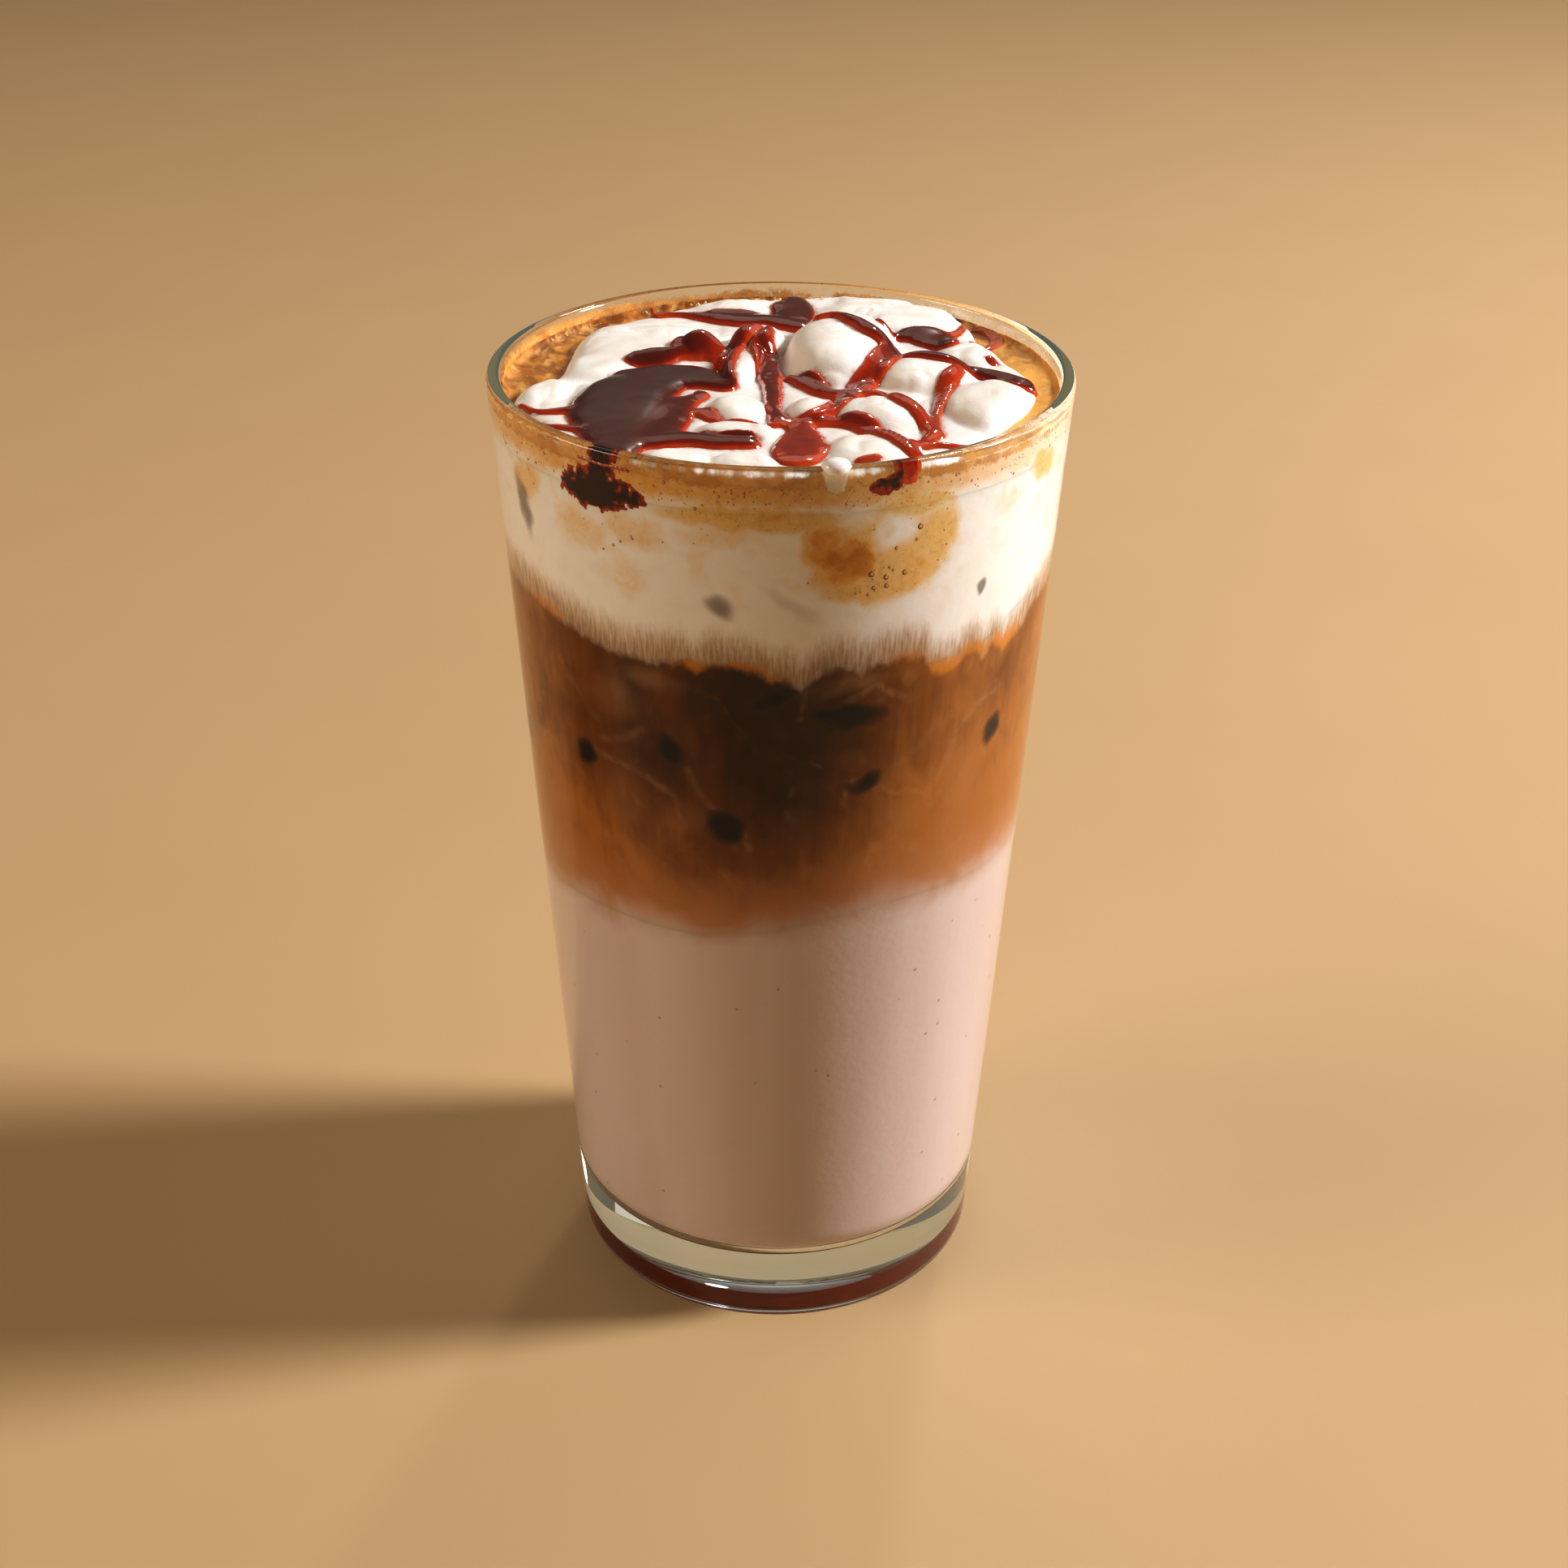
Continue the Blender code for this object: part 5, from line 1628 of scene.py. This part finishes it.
def scattered_bubbles():
    """Seeded places, kept where crema or stirred coffee shows. Their sizes follow e to a negative power."""
    random = np.random.default_rng(8)
    angle = random.uniform(-180, 180, SCATTERED_BUBBLES)
    chosen = random.random(SCATTERED_BUBBLES) < 0.5
    in_band = random.uniform(*BUBBLE_BAND, SCATTERED_BUBBLES)
    height = np.where(chosen, in_band, random.uniform(*BUBBLE_FIELD, SCATTERED_BUBBLES))
    tan = wall_values(angle, height)["stirred"]
    kept = (height > BUBBLE_BAND[0]) | (tan > random.uniform(0.15, 0.7, SCATTERED_BUBBLES))
    size = 0.06 + np.minimum(random.exponential(0.045, SCATTERED_BUBBLES), 0.2)
    return np.stack([angle, height, size, size * random.uniform(0.9, 1.3, SCATTERED_BUBBLES)], axis=-1)[kept]


print(len(NAMED_BUBBLES) + len(scattered_bubbles()), "bubbles against the glass")

# %% [markdown]
# Each bubble is a flat lens of twelve sides. With so many of them, a rounder one would cost more faces than the
# tumbler. Its dark ring is painted by the share of the way out, which the mesh carries.

# %% Bubbles against the glass
RING_STEPS = 12
RING_SHARE = 0.6


def bubble_material():
    """Pale in the middle and dark towards the ring, where the skin of the bubble is seen edge on."""
    made, tree, shader = new_material("wall_bubble", Roughness=0.25, IOR=1.36)
    share = measured(tree, "share")
    colour = mixed(tree, between(tree, share, 0.35, 0.72), paint(226, 176, 106), paint(140, 84, 34))
    colour = mixed(tree, between(tree, share, 0.8, 1.0, 0.0, 0.7), colour, paint(206, 150, 82))
    tree.links.new(colour, shader.inputs["Base Color"])
    return made


def make_wall_bubbles():
    """A lens for each bubble: a middle, a ring at six tenths, an outer ring, and a point behind."""
    spots = np.vstack([np.array(NAMED_BUBBLES), scattered_bubbles()])
    angle, height, half_width, half_height = spots.T[..., None]
    turn = np.linspace(0, 2 * np.pi, RING_STEPS, endpoint=False)
    scale = np.radians(1.0) * RIM_RADIUS

    def ring(share, lift):
        """Points round each bubble at that share of its half sizes."""
        degrees = angle + share * half_width * np.cos(turn) / scale
        return wall_place(degrees, height + share * half_height * np.sin(turn), lift)

    front = wall_place(angle, height, INTO_WALL + 0.05)
    inner = ring(RING_SHARE, INTO_WALL + 0.045)
    outer = ring(1.0, INTO_WALL + 0.005)
    back = wall_place(angle, height, INTO_WALL - 0.1)
    points = np.concatenate([front, inner, outer, back], axis=1)
    each = points.shape[1]
    start = (np.arange(len(spots)) * each)[:, None, None]
    one, two = 1 + np.arange(RING_STEPS), 1 + RING_STEPS + np.arange(RING_STEPS)
    fan = np.stack([np.zeros(RING_STEPS, int), one, np.roll(one, -1)], axis=-1)
    band = np.stack([one, two, np.roll(two, -1), np.roll(one, -1)], axis=-1)
    rear = np.stack([np.full(RING_STEPS, each - 1), np.roll(two, -1), two], axis=-1)
    triangles = np.concatenate([(start + fan).reshape(-1, 3), (start + rear).reshape(-1, 3)])
    quads = (start + band).reshape(-1, 4)
    share = np.concatenate([[0.0], np.full(RING_STEPS, RING_SHARE), np.full(RING_STEPS, 1.0), [1.0]])
    values = {"share": np.tile(share, len(spots))}
    return mesh_piece("wall_bubbles", points.reshape(-1, 3), [quads, triangles], bubble_material(), values)


wall_bubbles = make_wall_bubbles()
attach(wall_bubbles, "root")

# %% [markdown]
# Bubbles on top of the crema and a drop of milk on the rim are round beads. Each is a ball of a few dozen
# faces, pressed flat by its own two measures.

# %% Round beads
DOME_RINGS = 5
DOME_STEPS = 12


def blobs(name, places, material):
    """Rounded beads, each an ellipsoid: circles of radius sine, at heights of cosine, between two poles."""
    places = np.asarray(places, float)
    x, y, z, wide, tall = places.T[..., None, None]
    down = (np.arange(1, DOME_RINGS + 1) * np.pi / (DOME_RINGS + 1))[:, None]
    turn = np.linspace(0, 2 * np.pi, DOME_STEPS, endpoint=False)
    rings = np.stack([
        x + wide * np.sin(down) * np.cos(turn),
        y + wide * np.sin(down) * np.sin(turn),
        z + tall * np.cos(down) * np.ones(DOME_STEPS),
    ], axis=-1).reshape(len(places), -1, 3)
    poles = np.stack([places[:, :3], places[:, :3]], axis=1)
    poles[:, 0, 2] += places[:, 4]
    poles[:, 1, 2] -= places[:, 4]
    points = np.concatenate([rings, poles], axis=1)
    each = points.shape[1]
    start = (np.arange(len(places)) * each)[:, None, None]
    quads = grid_faces(DOME_RINGS, DOME_STEPS, True)
    top = pole_faces(np.arange(DOME_STEPS)[::-1], each - 2)
    low = pole_faces(np.arange((DOME_RINGS - 1) * DOME_STEPS, DOME_RINGS * DOME_STEPS), each - 1)
    faces = [(start + quads).reshape(-1, 4), (start + top).reshape(-1, 3), (start + low).reshape(-1, 3)]
    made = mesh_piece(name, points.reshape(-1, 3), faces, material)
    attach(made, "root")
    return made


# %% [markdown]
# Bubbles gather where the crema meets the wall, and grow smaller away from it. So their distance from the wall
# is a seeded draw that falls off quickly.

# %% Bubbles on the crema, and the drop on the rim
# Where the crema is bare at the back: the middle angle, and how far large bubbles and any bubbles go from it.
BARE_BACK = (172.0, 16.0, 14.0)
# The drop of milk on the rim: angle, distance from the axis, height, half width and half height.
RIM_DROP = (10.3, 41.0, 149.9, 2.05, 1.2)


def top_bubble_material():
    """A thin wet skin of coffee foam."""
    made, tree, shader = new_material(
        "top_bubble", Roughness=0.04, IOR=1.36, Coat_Weight=1.0, Coat_Roughness=0.02
    )
    where = in_millimetres(tree)
    tint = noise(tree, where, 1.0, 2.0)
    tree.links.new(mixed(tree, tint, paint(206, 150, 92), paint(246, 216, 172)), shader.inputs["Base Color"])
    return made


def top_bubbles():
    """Seeded places in the crescents of bare crema and along the back wall, sitting at the crema's level."""
    random = np.random.default_rng(14)
    angle = np.concatenate([
        random.normal(168.0, 7.0, 40), random.normal(-170.0, 8.0, 36), random.uniform(-152, -78, 26),
        random.uniform(62, 112, 16), random.uniform(-180, 180, 30),
    ])
    into = np.abs(random.exponential(1.1, angle.size))
    reach = float(inner_radius(CREMA_TOP)) - 0.35 - np.minimum(into, 6.5)
    x, y = reach * np.sin(np.radians(angle)), -reach * np.cos(np.radians(angle))
    size = 0.12 + np.minimum(random.exponential(0.2, angle.size), 0.7)
    from_back = np.abs(np.abs(angle) - BARE_BACK[0])
    size = np.where(from_back < BARE_BACK[1], size, size * 0.5)
    near_wall = np.exp(-into / 1.4)
    size = size * (0.55 + 0.6 * near_wall)
    bare = reach > cream_reach(x, y) - 0.6
    bare |= from_back < BARE_BACK[2]
    z = crema_height(x, y) - size * 0.25 + np.where(reach < cream_reach(x, y), 0.9, 0.0)
    return np.stack([x, y, z, size, size * 0.8], axis=-1)[bare]


blobs("top_bubbles", top_bubbles(), top_bubble_material())
drop_angle, drop_reach, *drop_size = RIM_DROP
rim_turn = math.radians(drop_angle)
rim_bead = (drop_reach * math.sin(rim_turn), -drop_reach * math.cos(rim_turn), *drop_size)
blobs("milk_bead", [rim_bead], milk_paint)

# %% [markdown]
# ## Ice
# The ice is wholly sunk in the drink, and only shows as dark places where it nears the glass. It is made all
# the same: worn cubes in the coffee and the foam, each with a corner towards one of those places.

# %% Ice cubes
CUBE_STEPS = 24
CUBE_HALF = 9.0
SQUARENESS = 0.45
# The angles of the cubes. The first eight are in the coffee, at levels that rise and fall, and the others in
# the foam.
CUBE_ANGLES = (-40.0, 8.0, 55.0, 100.0, 148.0, -165.0, -122.0, -80.0, 20.0, 130.0, -140.0)
COFFEE_CUBES = 8
COFFEE_LEVEL, LEVEL_SWAY, FOAM_LEVEL = 104.0, 6.0, 130.5
CUBE_GAP = 0.6


def ice_material():
    """Clear ice, cloudy in the middle."""
    made, tree, shader = new_material("ice", Roughness=0.08, IOR=1.31, Transmission_Weight=0.9)
    where = in_millimetres(tree)
    cloud = noise(tree, where, 6.0, 4.0, 0.6)
    tree.links.new(mixed(tree, cloud, paint(214, 226, 230), paint(246, 250, 252)), shader.inputs["Base Color"])
    tree.links.new(between(tree, cloud, 0.4, 0.8, 0.05, 0.4), shader.inputs["Roughness"])
    return made


def make_ice():
    """Superellipsoids: the sine and cosine of a ball's angles are raised to a power below one, keeping sign."""
    random = np.random.default_rng(3)
    down = np.linspace(0, np.pi, CUBE_STEPS // 2 + 1)[1:-1, None]
    turn = np.linspace(0, 2 * np.pi, CUBE_STEPS, endpoint=False)[None]

    def power(value):
        """The value's size raised to the squareness, with its sign kept."""
        return np.sign(value) * np.abs(value) ** SQUARENESS

    ball = np.stack([
        power(np.sin(down)) * power(np.cos(turn)),
        power(np.sin(down)) * power(np.sin(turn)),
        power(np.cos(down)) * np.ones(CUBE_STEPS)[None],
    ], axis=-1).reshape(-1, 3)
    ball = np.vstack([ball, [0, 0, 1.0], [0, 0, -1.0]]) * CUBE_HALF
    rings = CUBE_STEPS // 2 - 1
    quads = grid_faces(rings, CUBE_STEPS, True)
    top = pole_faces(np.arange(CUBE_STEPS)[::-1], len(ball) - 2)
    low = pole_faces(np.arange((rings - 1) * CUBE_STEPS, rings * CUBE_STEPS), len(ball) - 1)
    points, faces = [], [[], [], []]
    for index, angle in enumerate(CUBE_ANGLES):
        height = COFFEE_LEVEL + LEVEL_SWAY * math.sin(index * 2.1) if index < COFFEE_CUBES else FOAM_LEVEL
        spin = Matrix.Rotation(random.uniform(0, math.tau), 3, Vector(random.normal(size=3)).normalized())
        turned = ball @ np.array(spin).T
        radius = float(inner_radius(height)) - CUBE_GAP
        middle = np.array([math.sin(math.radians(angle)), -math.cos(math.radians(angle)), 0.0])
        turned = turned + middle * (radius - (turned @ middle).max()) + [0, 0, height]
        for group, block in zip(faces, (quads, top, low)):
            group.append(block + len(ball) * index)
        points.append(turned)
    blocks = [np.vstack(group) for group in faces]
    return mesh_piece("ice", np.vstack(points), blocks, ice_material(), closed=False)


ice = make_ice()
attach(ice, "root")

# %% [markdown]
# ## The studio
# A plain pale floor, one soft lamp to the right and a little behind, and a weak warm fill from the left, as if
# thrown back by the floor. A small lamp behind puts sparks on the wet syrup, and a dim panel gives it a sheen.
# Bare bulbs would give hard black shadows, so each lamp has a broad face.

# %% Floor and lamps
FLOOR_SPAN = 4000.0


def floor_material():
    """A matt board, very slightly clouded."""
    made, tree, shader = new_material("pale_floor", Roughness=0.65)
    where = in_millimetres(tree)
    shade = noise(tree, where, 60.0, 3.0)
    tree.links.new(mixed(tree, shade, paint(199, 170, 130), paint(195, 165, 125)), shader.inputs["Base Color"])
    return made


def soft_lamp(name, place_at, aim_at, size, power, tint, shape="DISK"):
    """A lamp with a face of that size, aimed at a point, all in metres."""
    lamp = bpy.data.lights.new(name, "AREA")
    lamp.shape = shape
    lamp.size = size[0]
    if shape == "RECTANGLE":
        lamp.size_y = size[1]
    lamp.energy = power
    lamp.color = tint
    made = bpy.data.objects.new(name, lamp)
    made.location = place_at
    made.rotation_euler = (Vector(aim_at) - Vector(place_at)).to_track_quat("-Z", "Y").to_euler()
    bpy.context.scene.collection.objects.link(made)
    return made


corners = [(x * FLOOR_SPAN, y * FLOOR_SPAN, 0) for x, y in ((-1, -1), (1, -1), (1, 1), (-1, 1))]
floor = mesh_piece("floor", corners, [np.array([[0, 1, 2, 3]])], floor_material(), closed=False)
soft_lamp("key", (1.351, 0.13, 0.938), (0, 0, 0.09), (0.32,), 38.5, (0.985, 0.985, 1.0))
soft_lamp("spark", (0.3, 1.15, 1.2), (0, 0, 0.14), (0.13,), 3.0, (1.0, 0.97, 0.92))
soft_lamp("fill", (-1.5, -0.25, 0.8), (0, 0, 0.1), (0.9,), 15.0, (1.0, 0.86, 0.68))
soft_lamp("panel", (0.5, 2.0, 1.9), (0, 0, 0.05), (3.0, 1.3), 8.0, (1.0, 0.86, 0.72), "RECTANGLE")

# %% [markdown]
# A dim warm light comes from all round, as from the walls of a room. What the glass mirrors or bends to is a
# cooler, brighter room, because clear glass looks grey and lifeless when it has nothing pale to mirror.

# %% The light all round
AMBIENT_LIGHT = ((1.0, 0.54, 0.27, 1.0), 0.083)
MIRRORED_ROOM = ((0.66, 0.8, 0.7, 1.0), 0.2)
surroundings = bpy.data.worlds.new("surroundings")
bpy.context.scene.world = surroundings
surroundings.use_nodes = True
sky = surroundings.node_tree
ambient = sky.nodes["Background"]
ambient.inputs["Color"].default_value, ambient.inputs["Strength"].default_value = AMBIENT_LIGHT
mirrored = place(sky, "LightPath")
mirrored = sums(sky, "MAXIMUM", mirrored.outputs["Is Glossy Ray"], mirrored.outputs["Is Transmission Ray"])
room = place(sky, "Background", {"Color": MIRRORED_ROOM[0], "Strength": MIRRORED_ROOM[1]})
both = place(sky, "MixShader", {0: mirrored, 1: ambient.outputs[0], 2: room.outputs[0]})
sky.links.new(both.outputs[0], sky.nodes["World Output"].inputs["Surface"])
print("lamps:", sorted(lamp.name for lamp in bpy.data.lights))
